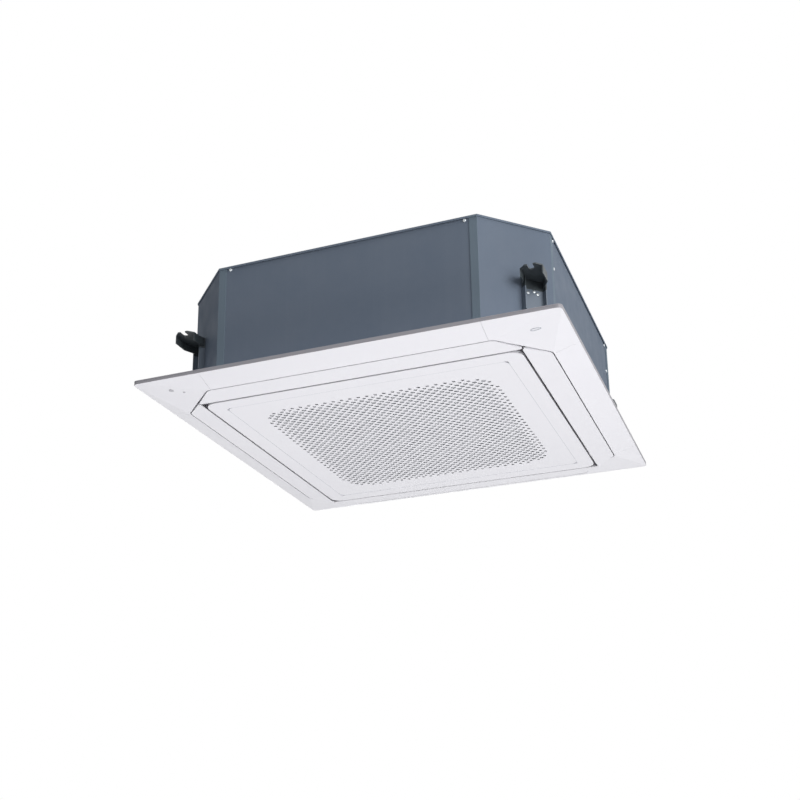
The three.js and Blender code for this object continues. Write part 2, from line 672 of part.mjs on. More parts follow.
// The front vane. Its ends follow the ring's cut corners, then a mitre to the next vane.
function vane() {
  const fall = RING_SLOPE / (RING_HALF - GRILLE_HALF);
  const face = (inset) => RING_LEVEL - (RING_HALF - inset) * fall;
  const middle = (VANE_OUTER + VANE_INNER) / 2;
  const back = [];
  for (let i = 0; i <= 4; i += 1) {
    const side = 1 - i / 2;
    const y = middle + side * VANE_WIDTH / 2;
    back.push([-y, face(y) + VANE_CROWN - (VANE_CROWN - VANE_EDGE) * side * side]);
  }
  const slab = bar([[-VANE_INNER, face(VANE_INNER)], [-VANE_OUTER, face(VANE_OUTER)], ...back],
    -RING_HALF, RING_HALF);
  const sum = RING_SUM - VANE_GAP_OUTER * Math.SQRT2;
  const mitre = VANE_MITRE_GAP / Math.SQRT2;
  const [outer, end] = [[sum - VANE_OUTER, -VANE_OUTER], [(sum - mitre) / 2, -(sum + mitre) / 2]];
  const right = [...rounded([0, -VANE_OUTER], outer, end), end, [VANE_INNER - mitre, -VANE_INNER]];
  const left = right.map(([x, y]) => [-x, y]).reverse();
  const blade = common(slab, prism([...right, ...left], GRILLE_LEVEL - 1, 0));
  const blockEnd = sum - VANE_AXIS;
  const block = (x) => box(x - VANE_BLOCK_LENGTH / 2, x + VANE_BLOCK_LENGTH / 2,
    -VANE_AXIS - VANE_BLOCK / 2, -VANE_AXIS + VANE_BLOCK / 2,
    face(VANE_AXIS) + 1, VANE_AXIS_LEVEL);
  const blockAt = blockEnd - VANE_BLOCK_LENGTH / 2 - VANE_BLOCK / 2;
  const pin = (from, to) => rod(VANE_PIN, [from, -VANE_AXIS, VANE_AXIS_LEVEL],
    [to, -VANE_AXIS, VANE_AXIS_LEVEL], 12);
  const idleEnd = -(WALL_SUM_OUT - VANE_AXIS + 1);
  return join(blade, block(blockAt), block(-blockAt), pin(blockAt, LUG_NEAR - COUPLING),
    pin(idleEnd, -blockAt));
}

function vaneMotor() {
  const at = LUG_FAR + GAP;
  const can = rod(MOTOR_CAN_RADIUS, [at, -VANE_AXIS, MOTOR_LEVEL],
    [at + MOTOR_CAN_LENGTH, -VANE_AXIS, MOTOR_LEVEL], 24);
  const shaft = rod(MOTOR_SHAFT, [LUG_NEAR - COUPLING + GAP, -VANE_AXIS, VANE_AXIS_LEVEL],
    [at + 1, -VANE_AXIS, VANE_AXIS_LEVEL], 12);
  const ears = box(at, at + MOTOR_EAR, -VANE_AXIS - MOTOR_LUG_WIDTH / 2,
    -VANE_AXIS + MOTOR_LUG_WIDTH / 2, MOTOR_LEVEL - MOTOR_SHAFT, MOTOR_LEVEL + MOTOR_SHAFT);
  const plug = box(at + 1, at + MOTOR_CAN_LENGTH, -VANE_AXIS - 4, -VANE_AXIS + 4, MOTOR_LEVEL,
    MOTOR_LEVEL + MOTOR_CAN_RADIUS + MOTOR_PLUG);
  return join(can, shaft, ears, plug);
}

const sides = ['front', 'right', 'back', 'left'];
const vaneShape = vane();
const vaneMotorShape = vaneMotor();
sides.forEach((side, quarters) => {
  addPiece(`vane_${side}`, vaneShape, WHITE, quarters);
  addPiece(`vane_motor_${side}`, vaneMotorShape, GREY_PLASTIC, quarters);
});

// ---- intake grille, filter and latches -------------------------------------------------

function squareRing(half, width, round, z0, z1) {
  return cut(prism(roundedSquare(half, round), z0, z1),
    prism(roundedSquare(half - width, Math.max(round - width, 2)), z0 - 1, z1 + 1));
}

function grilleFrame() {
  const border = squareRing(GRILLE_HALF, GRILLE_BORDER - GAP, GRILLE_ROUND, GRILLE_LEVEL, GRILLE_TOP);
  const lip = squareRing(GRILLE_HALF, RIB, GRILLE_ROUND, GRILLE_TOP - 1, GRILLE_TOP + GRILLE_LIP);
  const ledgeOut = RIB_HALF + 3;
  const ledge = squareRing(ledgeOut, ledgeOut - PLATE_HALF + LEDGE_WIDTH, GRILLE_ROUND,
    LEDGE_LEVEL, LEDGE_TOP);
  const rib = squareRing(RIB_HALF, RIB, PLATE_ROUND, GRILLE_TOP - 1, GRILLE_TOP + RIB_HEIGHT);
  const knuckles = [HINGE_SPREAD, -HINGE_SPREAD].map((x) => {
    const half = HINGE_KNUCKLE / 2;
    const pinEnd = half + HINGE_LUG + 1.5;
    return join(
      box(x - half, x + half, HINGE_Y - HINGE_LUG_RADIUS, HINGE_Y + HINGE_LUG_RADIUS,
        GRILLE_TOP - 1, HINGE_LEVEL),
      rod(HINGE_LUG_RADIUS, [x - half, HINGE_Y, HINGE_LEVEL], [x + half, HINGE_Y, HINGE_LEVEL], 20),
      rod(HINGE_PIN, [x - pinEnd, HINGE_Y, HINGE_LEVEL], [x + pinEnd, HINGE_Y, HINGE_LEVEL], 16),
    );
  });
  const guides = [LATCH_SPREAD, -LATCH_SPREAD].flatMap((x) => [-1, 1].map((side) => {
    const near = x + side * (LATCH_WIDTH / 2 + RUN);
    const far = near + side * RIB;
    return box(Math.min(near, far), Math.max(near, far), -LATCH_FRONT, -LATCH_FRONT + LATCH_BODY,
      GRILLE_TOP - 1, TONGUE_LEVEL);
  }));
  return join(border, lip, ledge, rib, ...knuckles, ...guides);
}

// Coarse holes stand for the fine perforation: a square grid with a second one in its gaps.
function grillePlate() {
  const outline = new THREE.Shape(roundedSquare(PLATE_HALF, PLATE_ROUND)
    .map(([x, y]) => new THREE.Vector2(x, y)));
  for (const rows of [HOLE_ROWS, HOLE_ROWS - 1]) {
    for (let i = 0; i < rows * rows; i += 1) {
      const x = (i % rows - (rows - 1) / 2) * HOLE_PITCH;
      const y = (Math.floor(i / rows) - (rows - 1) / 2) * HOLE_PITCH;
      const rim = [0, 1, 2, 3, 4, 5].map((k) => new THREE.Vector2(
        x + HOLE_RADIUS * Math.cos(k * Math.PI / 3), y + HOLE_RADIUS * Math.sin(k * Math.PI / 3)));
      outline.holes.push(new THREE.Path(rim));
    }
  }
  const sheet = new THREE.ExtrudeGeometry(outline, { depth: PLATE, bevelEnabled: false });
  return toSolid(sheet.translate(0, 0, PLATE_LEVEL));
}

function filterFrame() {
  const top = FILTER_LEVEL + FILTER_HEIGHT;
  const inner = FILTER_HALF - 1;
  const bars = [];
  for (let i = 1; i <= FILTER_BARS; i += 1) {
    const at = (2 * i / (FILTER_BARS + 1) - 1) * FILTER_HALF;
    bars.push(box(at - FILTER_BAR / 2, at + FILTER_BAR / 2, -inner, inner, FILTER_LEVEL, top - 1));
    bars.push(box(-inner, inner, at - FILTER_BAR / 2, at + FILTER_BAR / 2, FILTER_LEVEL, top - 1));
  }
  return join(squareRing(FILTER_HALF, FILTER_RING, 8, FILTER_LEVEL, top), ...bars);
}

function filterSheet() {
  const base = FILTER_LEVEL + FILTER_HEIGHT + GAP;
  return prism(roundedSquare(FILTER_HALF - 2, 6), base, base + FILTER_SHEET);
}

function latch(x) {
  const half = LATCH_WIDTH / 2;
  const top = TONGUE_LEVEL + LATCH_TONGUE_HEIGHT;
  return join(
    box(x - half, x + half, -LATCH_FRONT, -LATCH_FRONT + LATCH_BODY, GRILLE_TOP + GAP, top),
    box(x - half + 3, x + half - 3, -LATCH_FRONT - LATCH_TONGUE, -LATCH_FRONT + 1, TONGUE_LEVEL, top),
  );
}

addPiece('grille_frame', grilleFrame(), WHITE);
addPiece('grille_plate', grillePlate(), WHITE);
addPiece('filter_frame', filterFrame(), DARK_PLASTIC);
addPiece('filter_sheet', filterSheet(), MESH_CLOTH);
addPiece('grille_latch_right', latch(LATCH_SPREAD), GREY_PLASTIC);
addPiece('grille_latch_left', latch(-LATCH_SPREAD), GREY_PLASTIC);

// ---- casing ----------------------------------------------------------------------------

// The pipes leave through the cut corner at the left back. In its own frame +X points out of
// that corner, Y runs along it.
const OUT_TURN = 3 * Math.PI / 4;

function cornerFrame(x, y) {
  return [(y - x) / Math.SQRT2, -(x + y) / Math.SQRT2];
}

function atCorner(shape) {
  return shape.rotateZ(OUT_TURN);
}

const [, GAS_Y] = cornerFrame(HEADER_X, HEADER_Y);
const [, LIQUID_ALONG] = cornerFrame(LIQUID_X, LIQUID_Y);
const [PUMP_REACH, DRAIN_Y] = cornerFrame(PUMP_X, PUMP_Y);
const WINDOW_Y = [LIQUID_ALONG - LIQUID_PIPE - PIPE_ROOM, GAS_Y + GAS_PIPE + PIPE_ROOM / 2];
const WINDOW_Z = [LIQUID_LEVEL - LIQUID_PIPE - PIPE_ROOM, GAS_LEVEL + GAS_PIPE + PIPE_ROOM];

function pipeWindow() {
  const far = BODY_DIAG + 10;
  return [
    atCorner(box(LINER_IN_DIAG - 10, far, ...WINDOW_Y, ...WINDOW_Z)),
    atCorner(rod(DRAIN_RADIUS + GAP, [LINER_IN_DIAG - 10, DRAIN_Y, DRAIN_LEVEL],
      [far, DRAIN_Y, DRAIN_LEVEL], 24)),
  ];
}

function cablePort(radius) {
  return rod(radius, [CABLE_X, LINER_IN - 5, CABLE_LEVEL], [CABLE_X, BODY_HALF + 5, CABLE_LEVEL], 20);
}

// A flat side with a flange turned in at its foot; the front one.
function sideSheet() {
  const profile = [[-SIDE_OUT, BODY_BASE], [-SIDE_IN + BASE_FLANGE, BODY_BASE],
    [-SIDE_IN + BASE_FLANGE, BODY_BASE + SHEET], [-SIDE_IN, BODY_BASE + SHEET],
    [-SIDE_IN, WALL_TOP], [-SIDE_OUT, WALL_TOP]];
  const end = BODY_HALF - BODY_CORNER - 3;
  return bar(profile, -end, end);
}

// A sheet bent round the cut corner at the right front, lapping onto both sides.
function cornerSheet() {
  const inner = BODY_HALF - SHEET;
  const legOut = BODY_HALF - BODY_CORNER;
  const legIn = (BODY_DIAG - SHEET) * Math.SQRT2 - inner;
  const lap = legOut - CORNER_FLANGE;
  return prism([[BODY_HALF, -lap], [BODY_HALF, -legOut], [legOut, -BODY_HALF], [lap, -BODY_HALF],
    [lap, -inner], [legIn, -inner], [inner, -legIn], [inner, -lap]], BODY_BASE, WALL_TOP);
}

// The top has a turned-down lip and pressed beads: a ring with spokes.
function topPlate() {
  const [half, diag] = [BODY_HALF + GAP, BODY_DIAG + GAP];
  const under = BODY_TOP - TOP_SHEET;
  const lidOut = cutSquare(half + TOP_SHEET, (diag + TOP_SHEET) * Math.SQRT2);
  const lid = cut(prism(lidOut, under - TOP_LIP, BODY_TOP),
    prism(cutSquare(half, diag * Math.SQRT2), under - TOP_LIP - 1, under));
  const [low, high] = [BODY_TOP - TOP_SHEET / 2, BODY_TOP + BEAD_HEIGHT];
  const ring = cut(disc(BEAD_RING + BEAD_WIDTH / 2, low, high, 36),
    disc(BEAD_RING - BEAD_WIDTH / 2, low - 1, high + 1, 36));
  const spokes = [];
  for (let i = 0; i < BEADS; i += 1) {
    const spoke = box(BEAD_RING, BODY_HALF - BEAD_ROOM, -BEAD_WIDTH / 2, BEAD_WIDTH / 2, low, high);
    spokes.push(spoke.rotateZ(i * 2 * Math.PI / BEADS));
  }
  return join(lid, ring, ...spokes);
}

function liner() {
  const outer = cutSquare(LINER_HALF, LINER_DIAG * Math.SQRT2);
  const inner = cutSquare(LINER_IN, LINER_IN_DIAG * Math.SQRT2);
  return cut(prism(outer, BODY_BASE + SHEET + GAP, WALL_TOP), prism(inner, BODY_BASE, CEILING_IN),
    disc(MOTOR_FLANGE + LINER_MOTOR_ROOM, CEILING_IN - 1, WALL_TOP + 1, 36),
    ...pipeWindow(), cablePort(CABLE_PORT + 5));
}

const side = sideSheet();
const corner = cornerSheet();
const portSide = cut(side, turned(cablePort(CABLE_PORT + GAP), 2));
const pipeCorner = cut(corner, ...pipeWindow().map((tool) => turned(tool, 2)));
sides.forEach((name, quarters) => {
  addPiece(`casing_side_${name}`, name === 'back' ? portSide : side, STEEL, quarters);
});
['front_right', 'back_right', 'back_left', 'front_left'].forEach((name, quarters) => {
  addPiece(`casing_corner_${name}`, name === 'back_left' ? pipeCorner : corner, STEEL, quarters);
});
addPiece('top_plate', topPlate(), STEEL);
addPiece('insulation_liner', liner(), FOAM);

function cableGrommet() {
  const at = (y) => [CABLE_X, y, CABLE_LEVEL];
  const ring = (radius, y0, y1) => rod(radius, at(y0), at(y1), 20);
  const collar = join(ring(CABLE_PORT, SIDE_IN - 3, SIDE_OUT + 3),
    ring(CABLE_PORT + 4, SIDE_OUT + GAP, SIDE_OUT + 4),
    ring(CABLE_PORT + 3, SIDE_IN - 3, SIDE_IN - GAP));
  return cut(collar, ring(CABLE_PORT - 5, SIDE_IN - 10, BODY_HALF + 10));
}

addPiece('cable_grommet', cableGrommet(), DARK_PLASTIC);

// ---- hanger brackets -------------------------------------------------------------------

// The bracket at the right front: a folded channel on the cut corner, with an ear at its top
// whose slot opens to the front.
function hangerBracket() {
  const at = (along, out) => {
    const reach = BODY_DIAG + GAP + out;
    return [(reach + along) / Math.SQRT2, (along - reach) / Math.SQRT2];
  };
  const plate = (t0, t1, n1, z0, z1) => prism([at(t0, 0), at(t1, 0), at(t1, n1), at(t0, n1)], z0, z1);
  const [top, under] = [EAR_LEVEL + EAR, EAR_LEVEL - EAR_FLANGE];
  const half = BOLT_SLOT / 2;
  const [x0, x1] = [BOLT_X - half - EAR_MARGIN, BOLT_X + half + EAR_MARGIN];
  const edge = -BOLT_Y - EAR_REACH;
  const slot = [[BOLT_X - half, edge - 1], [BOLT_X + half, edge - 1]];
  for (let i = 0; i <= 6; i += 1) {
    const turn = i * Math.PI / 6;
    slot.push([BOLT_X + half * Math.cos(turn), -BOLT_Y + half * Math.sin(turn)]);
  }
  const [near, far] = [at(BRACKET_NEAR, 0), at(BRACKET_FAR, 0)];
  const sideNear = [x0, near[1] - EAR_MARGIN];
  const sideFar = [x1, far[1] - 2 * EAR_MARGIN];
  const ear = cut(prism([near, sideNear, [x0, edge + EAR_CORNER], [x0 + EAR_CORNER, edge],
    [x1 - EAR_CORNER, edge], [x1, edge + EAR_CORNER], sideFar, far], EAR_LEVEL, top),
  prism(slot, EAR_LEVEL - 1, top + 1));
  const flange = (line, inward) => prism(ribbon(line.map(([x, y]) => [x + inward, y]),
    BRACKET_SHEET), under, EAR_LEVEL + 1);
  const wall = BRACKET_SHEET / 2;
  const nearFlange = flange([at(BRACKET_NEAR, 2), sideNear, [x0, edge + EAR_CORNER]], wall);
  const farFlange = flange([at(BRACKET_FAR, 2), sideFar, [x1, edge + EAR_CORNER]], -wall);
  return join(ear, nearFlange, farFlange,
    plate(BRACKET_NEAR, BRACKET_FAR, BRACKET_SHEET, BRACKET_FOOT, top),
    plate(BRACKET_NEAR, BRACKET_NEAR + BRACKET_SHEET, BRACKET_DEPTH, BRACKET_FOOT, top),
    plate(BRACKET_FAR - BRACKET_SHEET, BRACKET_FAR, BRACKET_DEPTH, BRACKET_FOOT, top));
}

const bracket = toGeometry(hangerBracket());
[['front_right', 1, 1], ['front_left', -1, 1], ['back_right', 1, -1], ['back_left', -1, -1]]
  .forEach(([name, flipX, flipY]) => {
    addPiece(`hanger_bracket_${name}`, toSolid(bracket.clone().scale(flipX, flipY, 1)), BRACKET_STEEL);
  });

// ---- drain pan, coil and pipes ---------------------------------------------------------

function drainPan() {
  const half = LINER_IN - RUN;
  const outer = prism(cutSquare(half, (LINER_IN_DIAG - RUN) * Math.SQRT2), BODY_BASE, PAN_TOP);
  const opening = prism(roundedSquare(PAN_HALF_OPENING, PAN_ROUND), BODY_BASE - 1, PAN_TOP + 1);
  const slot = box(-OUTLET_HALF_LENGTH, OUTLET_HALF_LENGTH, PAN_SLOT_SHIFT - OUTLET_OUTER,
    PAN_SLOT_SHIFT - OUTLET_INNER, BODY_BASE - 1, PAN_TOP + 1);
  const troughIn = COIL_ROUND - COIL_DEPTH - TROUGH_ROOM;
  const trough = cut(prism(roundedSquare(COIL_OUT + TROUGH_ROOM, TROUGH_ROUND), TROUGH_FLOOR, PAN_TOP + 1),
    prism(roundedSquare(COIL_IN - TROUGH_ROOM, troughIn), TROUGH_FLOOR - 1, PAN_TOP + 2));
  return cut(outer, opening, ...fourTimes(slot), trough);
}

function coilFins() {
  return cut(squareRing(COIL_OUT, COIL_DEPTH, COIL_ROUND, COIL_BASE, COIL_TOP),
    box(-COIL_OUT - 1, -COIL_END, COIL_END, COIL_OUT + 1, COIL_BASE - 1, COIL_TOP + 1));
}

class HalfTurn extends THREE.Curve {
  constructor(centre, radius) {
    super();
    this.centre = centre;
    this.radius = radius;
  }

  getPoint(t, target = new THREE.Vector3()) {
    const [x, y, z] = this.centre;
    const angle = t * Math.PI;
    return target.set(x - this.radius * Math.sin(angle), y, z - this.radius * Math.cos(angle));
  }
}

// The tube sheet on the coil's end in the back run, with its return bends.
function tubeSheet() {
  const face = -COIL_END - GAP;
  const sheet = box(face - TUBE_SHEET, face, COIL_IN - 2, COIL_OUT + 2, COIL_BASE, COIL_TOP);
  const section = new THREE.Shape();
  section.absarc(0, 0, TUBE, 0, 2 * Math.PI);
  const middle = (COIL_BASE + COIL_TOP) / 2;
  const bends = [];
  for (let i = 0; i < BENDS; i += 1) {
    const z = middle + (i - (BENDS - 1) / 2) * BEND_PITCH;
    const path = new HalfTurn([face - TUBE_SHEET + 0.5, COIL_OUT - 12, z], BEND_RADIUS);
    bends.push(new THREE.ExtrudeGeometry(section, { steps: 5, curveSegments: 3, extrudePath: path }));
  }
  return join(sheet, ...bends);
}

// A header tube with feeders to the tube sheet and a stub out through the casing's corner.
function header(x, y, level, radius, pipe) {
  const sheetFace = -COIL_END - TUBE_SHEET - 2 * GAP;
  const tube = disc(radius, HEADER_BASE, HEADER_TOP, 16, x, y);
  const feeders = [];
  for (let i = 0; i < FEEDERS; i += 1) {
    const z = HEADER_BASE + (i + 0.5) * (HEADER_TOP - HEADER_BASE) / FEEDERS;
    feeders.push(rod(FEEDER, [x, y, z], [sheetFace, y, z], 8));
  }
  const [reach, along] = cornerFrame(x, y);
  const stub = (r, from, to, sides) => atCorner(rod(r, [from, along, level], [to, along, level], sides));
  const end = BODY_DIAG + PIPE_STUB;
  const nut = stub(pipe + NUT_WALL, end - NUT_LENGTH - 6, end - 6, 6);
  return cut(join(tube, ...feeders, stub(pipe, reach, end, 16), nut),
    stub(pipe - 1.2, end - PORT_DEPTH, end + 1, 16));
}

function pipePlate() {
  const base = BODY_DIAG + GAP;
  const rim = 8;
  const hole = (along, level, radius) => atCorner(rod(radius + 1, [base - 5, along, level],
    [base + 5, along, level], 16));
  return cut(atCorner(box(base, base + 2, WINDOW_Y[0] - rim, WINDOW_Y[1] + rim,
    WINDOW_Z[0] - rim, WINDOW_Z[1] + rim)),
  hole(GAS_Y, GAS_LEVEL, GAS_PIPE), hole(LIQUID_ALONG, LIQUID_LEVEL, LIQUID_PIPE));
}

addPiece('drain_pan', drainPan(), FOAM);
addPiece('coil_fins', coilFins(), FIN_STOCK);
const sheetShape = tubeSheet();
addPiece('tube_sheet_back', sheetShape, COPPER);
const sheetLeft = toGeometry(sheetShape).clone().scale(-1, 1, 1).rotateZ(Math.PI / 2);
addPiece('tube_sheet_left', toSolid(sheetLeft), COPPER);
addPiece('gas_pipe', header(HEADER_X, HEADER_Y, GAS_LEVEL, HEADER, GAS_PIPE), COPPER);
addPiece('liquid_pipe', header(LIQUID_X, LIQUID_Y, LIQUID_LEVEL, LIQUID_PIPE + 1, LIQUID_PIPE), COPPER);
addPiece('pipe_plate', pipePlate(), ZINC);

// ---- drain pump ------------------------------------------------------------------------

function pumpHousing() {
  const at = (radius, z0, z1, segments = 24) => disc(radius, z0, z1, segments, PUMP_X, PUMP_Y);
  const base = PAN_TOP + GAP;
  const armLevel = base + 4;
  const foot = base - NOZZLE_DROP;
  return cut(join(at(NOZZLE, foot, base + 1), at(PUMP_BASE, base, base + 8),
    at(PUMP_RADIUS / 2, base + 7, PUMP_TOP - PUMP_CAN + 1), at(PUMP_RADIUS, PUMP_TOP - PUMP_CAN, PUMP_TOP),
    rod(STEM + 1, [PUMP_X, PUMP_Y, armLevel], [FLOAT_X, FLOAT_Y, armLevel], 10),
    disc(STEM, foot, armLevel + STEM, 12, FLOAT_X, FLOAT_Y),
    disc(STEM * 2, foot, foot + 2.5, 12, FLOAT_X, FLOAT_Y)),
  at(NOZZLE_BORE, foot - 1, base - 8));
}

function impeller() {
  const foot = PAN_TOP + GAP - NOZZLE_DROP;
  const blade = box(-IMPELLER, IMPELLER, -1, 1, foot + 1.5, foot + 12);
  const blades = [0, 1].map((quarter) => turned(blade, quarter).translate(PUMP_X, PUMP_Y, 0));
  return join(...blades, disc(3, foot + 1.5, foot + NOZZLE_DROP - 10, 12, PUMP_X, PUMP_Y));
}

function floatRing() {
  const base = PAN_TOP + GAP - NOZZLE_DROP + 3;
  return cut(disc(FLOAT_OUTER, base, base + FLOAT_HEIGHT, 20, FLOAT_X, FLOAT_Y),
    disc(STEM + RUN, base - 1, base + FLOAT_HEIGHT + 1, 16, FLOAT_X, FLOAT_Y));
}

// From the pump's base the hose climbs inside the corner to the spigot outside.
function drainOutlet() {
  const start = PUMP_REACH + PUMP_BASE + GAP;
  const climb = LINER_IN_DIAG - DRAIN_HOSE - 8;
  const low = PAN_TOP + DRAIN_HOSE + 4;
  const end = BODY_DIAG + PIPE_STUB;
  const tube = (radius, from, to, sides = 16) => atCorner(rod(radius, [from[0], DRAIN_Y, from[1]],
    [to[0], DRAIN_Y, to[1]], sides));
  const elbow = (x, z) => atCorner(new THREE.SphereGeometry(DRAIN_HOSE, 12, 8).translate(x, DRAIN_Y, z));
  return cut(join(tube(DRAIN_HOSE, [start, low], [climb, low]), elbow(climb, low),
    tube(DRAIN_HOSE, [climb, low], [climb, DRAIN_LEVEL]), elbow(climb, DRAIN_LEVEL),
    tube(DRAIN_HOSE, [climb, DRAIN_LEVEL], [LINER_IN_DIAG + 2, DRAIN_LEVEL]),
    tube(DRAIN_RADIUS, [LINER_IN_DIAG + 1, DRAIN_LEVEL], [end, DRAIN_LEVEL], 24)),
  tube(DRAIN_RADIUS - PORT_WALL, [end - PORT_DEPTH, DRAIN_LEVEL], [end + 1, DRAIN_LEVEL], 24));
}

addPiece('drain_pump', pumpHousing(), DARK_PLASTIC);
addPiece('pump_impeller', impeller(), GREY_PLASTIC);
addPiece('float_switch', floatRing(), WHITE);
addPiece('drain_outlet', drainOutlet(), GREY_PLASTIC);

// ---- bell mouth, fan and motor ---------------------------------------------------------

function bellMouth() {
  const line = [];
  for (let i = 0; i <= 4; i += 1) {
    const angle = i * Math.PI / 8;
    line.push([BELL_MOUTH - (BELL_MOUTH - BELL_THROAT) * Math.sin(angle),
      BELL_BASE + BELL_PLATE / 2 + BELL_RISE * (1 - Math.cos(angle))]);
  }
  line.push([BELL_THROAT, BELL_TOP]);
  const half = PAN_HALF_OPENING + BELL_LAP;
  const plate = prism(roundedSquare(half, 20), BELL_BASE, BELL_BASE + BELL_PLATE);
  const edge = 2;
  const window = box(BOX_X - edge, BOX_X + BOX_WIDTH + edge, -BOX_LENGTH / 2 - edge,
    BOX_LENGTH / 2 + edge, BELL_BASE - 1, BODY_BASE + 1);
  const mouth = disc(BELL_MOUTH - 1, BELL_BASE - 1, BODY_BASE + 1, FAN_SEGMENTS);
  return join(cut(plate, mouth, window), revolve(ribbon(line, BELL_WALL), FAN_SEGMENTS));
}

function shroudLine() {
  const line = [[FAN_EYE, FAN_LIP]];
  for (let i = 0; i <= 4; i += 1) {
    const angle = i * Math.PI / 8;
    line.push([FAN_EYE + (FAN_RADIUS - FAN_EYE) * (1 - Math.cos(angle)),
      FAN_LIP + BELL_OVERLAP + (FAN_SHROUD_RISE - BELL_OVERLAP) * Math.sin(angle)]);
  }
  return line;
}

// Backward-swept blade in plan: an aerofoil about a line whose angle grows with the radius.
function bladePlan() {
  const steps = 5;
  const [front, back] = [[], []];
  for (let i = 0; i <= steps; i += 1) {
    const s = i / steps;
    const radius = FAN_EYE + 8 + (FAN_RADIUS - 1 - FAN_EYE - 8) * s;
    const angle = THREE.MathUtils.degToRad(-FAN_BLADE_SWEEP * Math.pow(s, 0.9));
    const half = BLADE_THICKNESS * (0.18 + 0.55 * Math.sqrt(s) * (1 - s) * 1.6) / radius;
    front.push([radius * Math.cos(angle + half), radius * Math.sin(angle + half)]);
    back.unshift([radius * Math.cos(angle - half), radius * Math.sin(angle - half)]);
  }
  return [...front, ...back];
}

function turboFan() {
  const shroud = shroudLine();
  const hub = [[FAN_RADIUS, HUB_LEVEL], [CUP_TOP + 14, HUB_LEVEL], [CUP_TOP, HUB_LEVEL - 8],
    [CUP_BOTTOM, CUP_FLOOR + 8], [CUP_BOTTOM - 8, CUP_FLOOR], [HUB_BOSS - 2, CUP_FLOOR]];
  const below = revolve([[FAN_EYE - 6, FAN_LIP - 10], [FAN_RADIUS + 6, FAN_LIP - 10],
    [FAN_RADIUS + 6, FAN_LIP + FAN_SHROUD_RISE], ...shroud.slice(1).reverse(),
    [FAN_EYE - 6, FAN_LIP + BELL_OVERLAP]], FAN_SEGMENTS);
  const blades = [];
  for (let i = 0; i < FAN_BLADES; i += 1) {
    const blade = prism(bladePlan(), FAN_LIP + BELL_OVERLAP + 2, HUB_LEVEL);
    blades.push(cut(blade.rotateZ(i * 2 * Math.PI / FAN_BLADES), below));
  }
  const boss = disc(HUB_BOSS, CUP_FLOOR - HUB_BOSS_HEIGHT, CUP_FLOOR + FAN_WALL / 2, 20);
  const bore = disc(SHAFT + GAP, CUP_FLOOR - HUB_BOSS_HEIGHT - 1, CUP_FLOOR + 5, 16);
  return cut(join(revolve(ribbon(shroud, FAN_WALL), FAN_SEGMENTS),
    revolve(ribbon(hub, FAN_WALL), FAN_SEGMENTS), ...blades, boss), bore);
}

function fanMotor() {
  const top = WALL_TOP - GAP;
  const half = MOTOR_FLANGE / Math.SQRT2 + 6;
  return cut(join(prism(roundedSquare(half, 30, 3), top - MOTOR_FLANGE_SHEET, top),
    disc(MOTOR_RADIUS, MOTOR_END, top - 1, 32), disc(MOTOR_RADIUS / 3, MOTOR_END - 4, MOTOR_END + 1, 24)),
  disc(SHAFT + RUN, MOTOR_END - 5, MOTOR_END + MOTOR_BORE, 16));
}

function fanShaft() {
  const tip = CUP_FLOOR - HUB_BOSS_HEIGHT - NUT_HEIGHT - 6;
  return disc(SHAFT, tip, MOTOR_END + MOTOR_BORE - 1.5, 16);
}

function hubNut() {
  const top = CUP_FLOOR - HUB_BOSS_HEIGHT - GAP;
  return cut(disc(NUT, top - NUT_HEIGHT, top, 6), disc(SHAFT + GAP, top - NUT_HEIGHT - 1, top + 1, 16));
}

addPiece('bell_mouth', bellMouth(), GREY_PLASTIC);
addPiece('turbo_fan', turboFan(), GREY_PLASTIC);
addPiece('fan_motor', fanMotor(), ZINC);
addPiece('fan_shaft', fanShaft(), ZINC);
addPiece('hub_nut', hubNut(), BRASS);

// ---- electrical box --------------------------------------------------------------------

function electricalBox() {
  const [x0, x1, end] = [BOX_X, BOX_X + BOX_WIDTH, BOX_LENGTH / 2];
  const outer = box(x0, x1, -end, end, BOX_BASE, BOX_BASE + BOX_HEIGHT);
  return cut(outer, box(x0 + BOX_WALL, x1 - BOX_WALL, -end + BOX_WALL, end - BOX_WALL,
    BOX_BASE - 1, BOX_BASE + BOX_HEIGHT - BOX_WALL));
}

function boxLid() {
  const [x0, x1, end] = [BOX_X, BOX_X + BOX_WIDTH, BOX_LENGTH / 2];
  return box(x0 - 1, x1 + 1, -end - 1, end + 1, BOX_BASE - GAP - BOX_WALL, BOX_BASE - GAP);
}

// The board hangs on four posts, its parts below: a transformer, capacitors and relays.
function controlBoard() {
  const margin = BOX_WALL + 2;
  const [x0, x1, end] = [BOX_X + margin, BOX_X + BOX_WIDTH - margin, BOX_LENGTH / 2 - margin];
  const middle = (x0 + x1) / 2;
  const ceiling = BOX_BASE + BOX_HEIGHT - BOX_WALL - GAP;
  const posts = [-1, 1].flatMap((side) => [x0 + 5, x1 - 5].map((x) => disc(3,
    BOARD_LEVEL + 1, ceiling, 10, x, side * (end - 8))));
  const capacitors = [0, 1, 2].map((i) => disc(8, BOARD_LEVEL - 20, BOARD_LEVEL + 1, 14,
    middle, i * 22 - 20));
  const relays = [0, 1, 2, 3].map((i) => box(x0 + 3, x0 + 18, 60 + i * 20, 74 + i * 20,
    BOARD_LEVEL - 13, BOARD_LEVEL + 1));
  const transformer = box(middle - 16, middle + 16, -end + 30, -end + 70, BOARD_LEVEL - 24, BOARD_LEVEL + 1);
  return join(box(x0, x1, -end, end, BOARD_LEVEL, BOARD_LEVEL + BOARD), ...posts, ...capacitors,
    ...relays, transformer);
}

addPiece('electrical_box', electricalBox(), ZINC);
addPiece('electrical_box_lid', boxLid(), ZINC);
addPiece('control_board', controlBoard(), BOARD_GREEN);

export default unit;
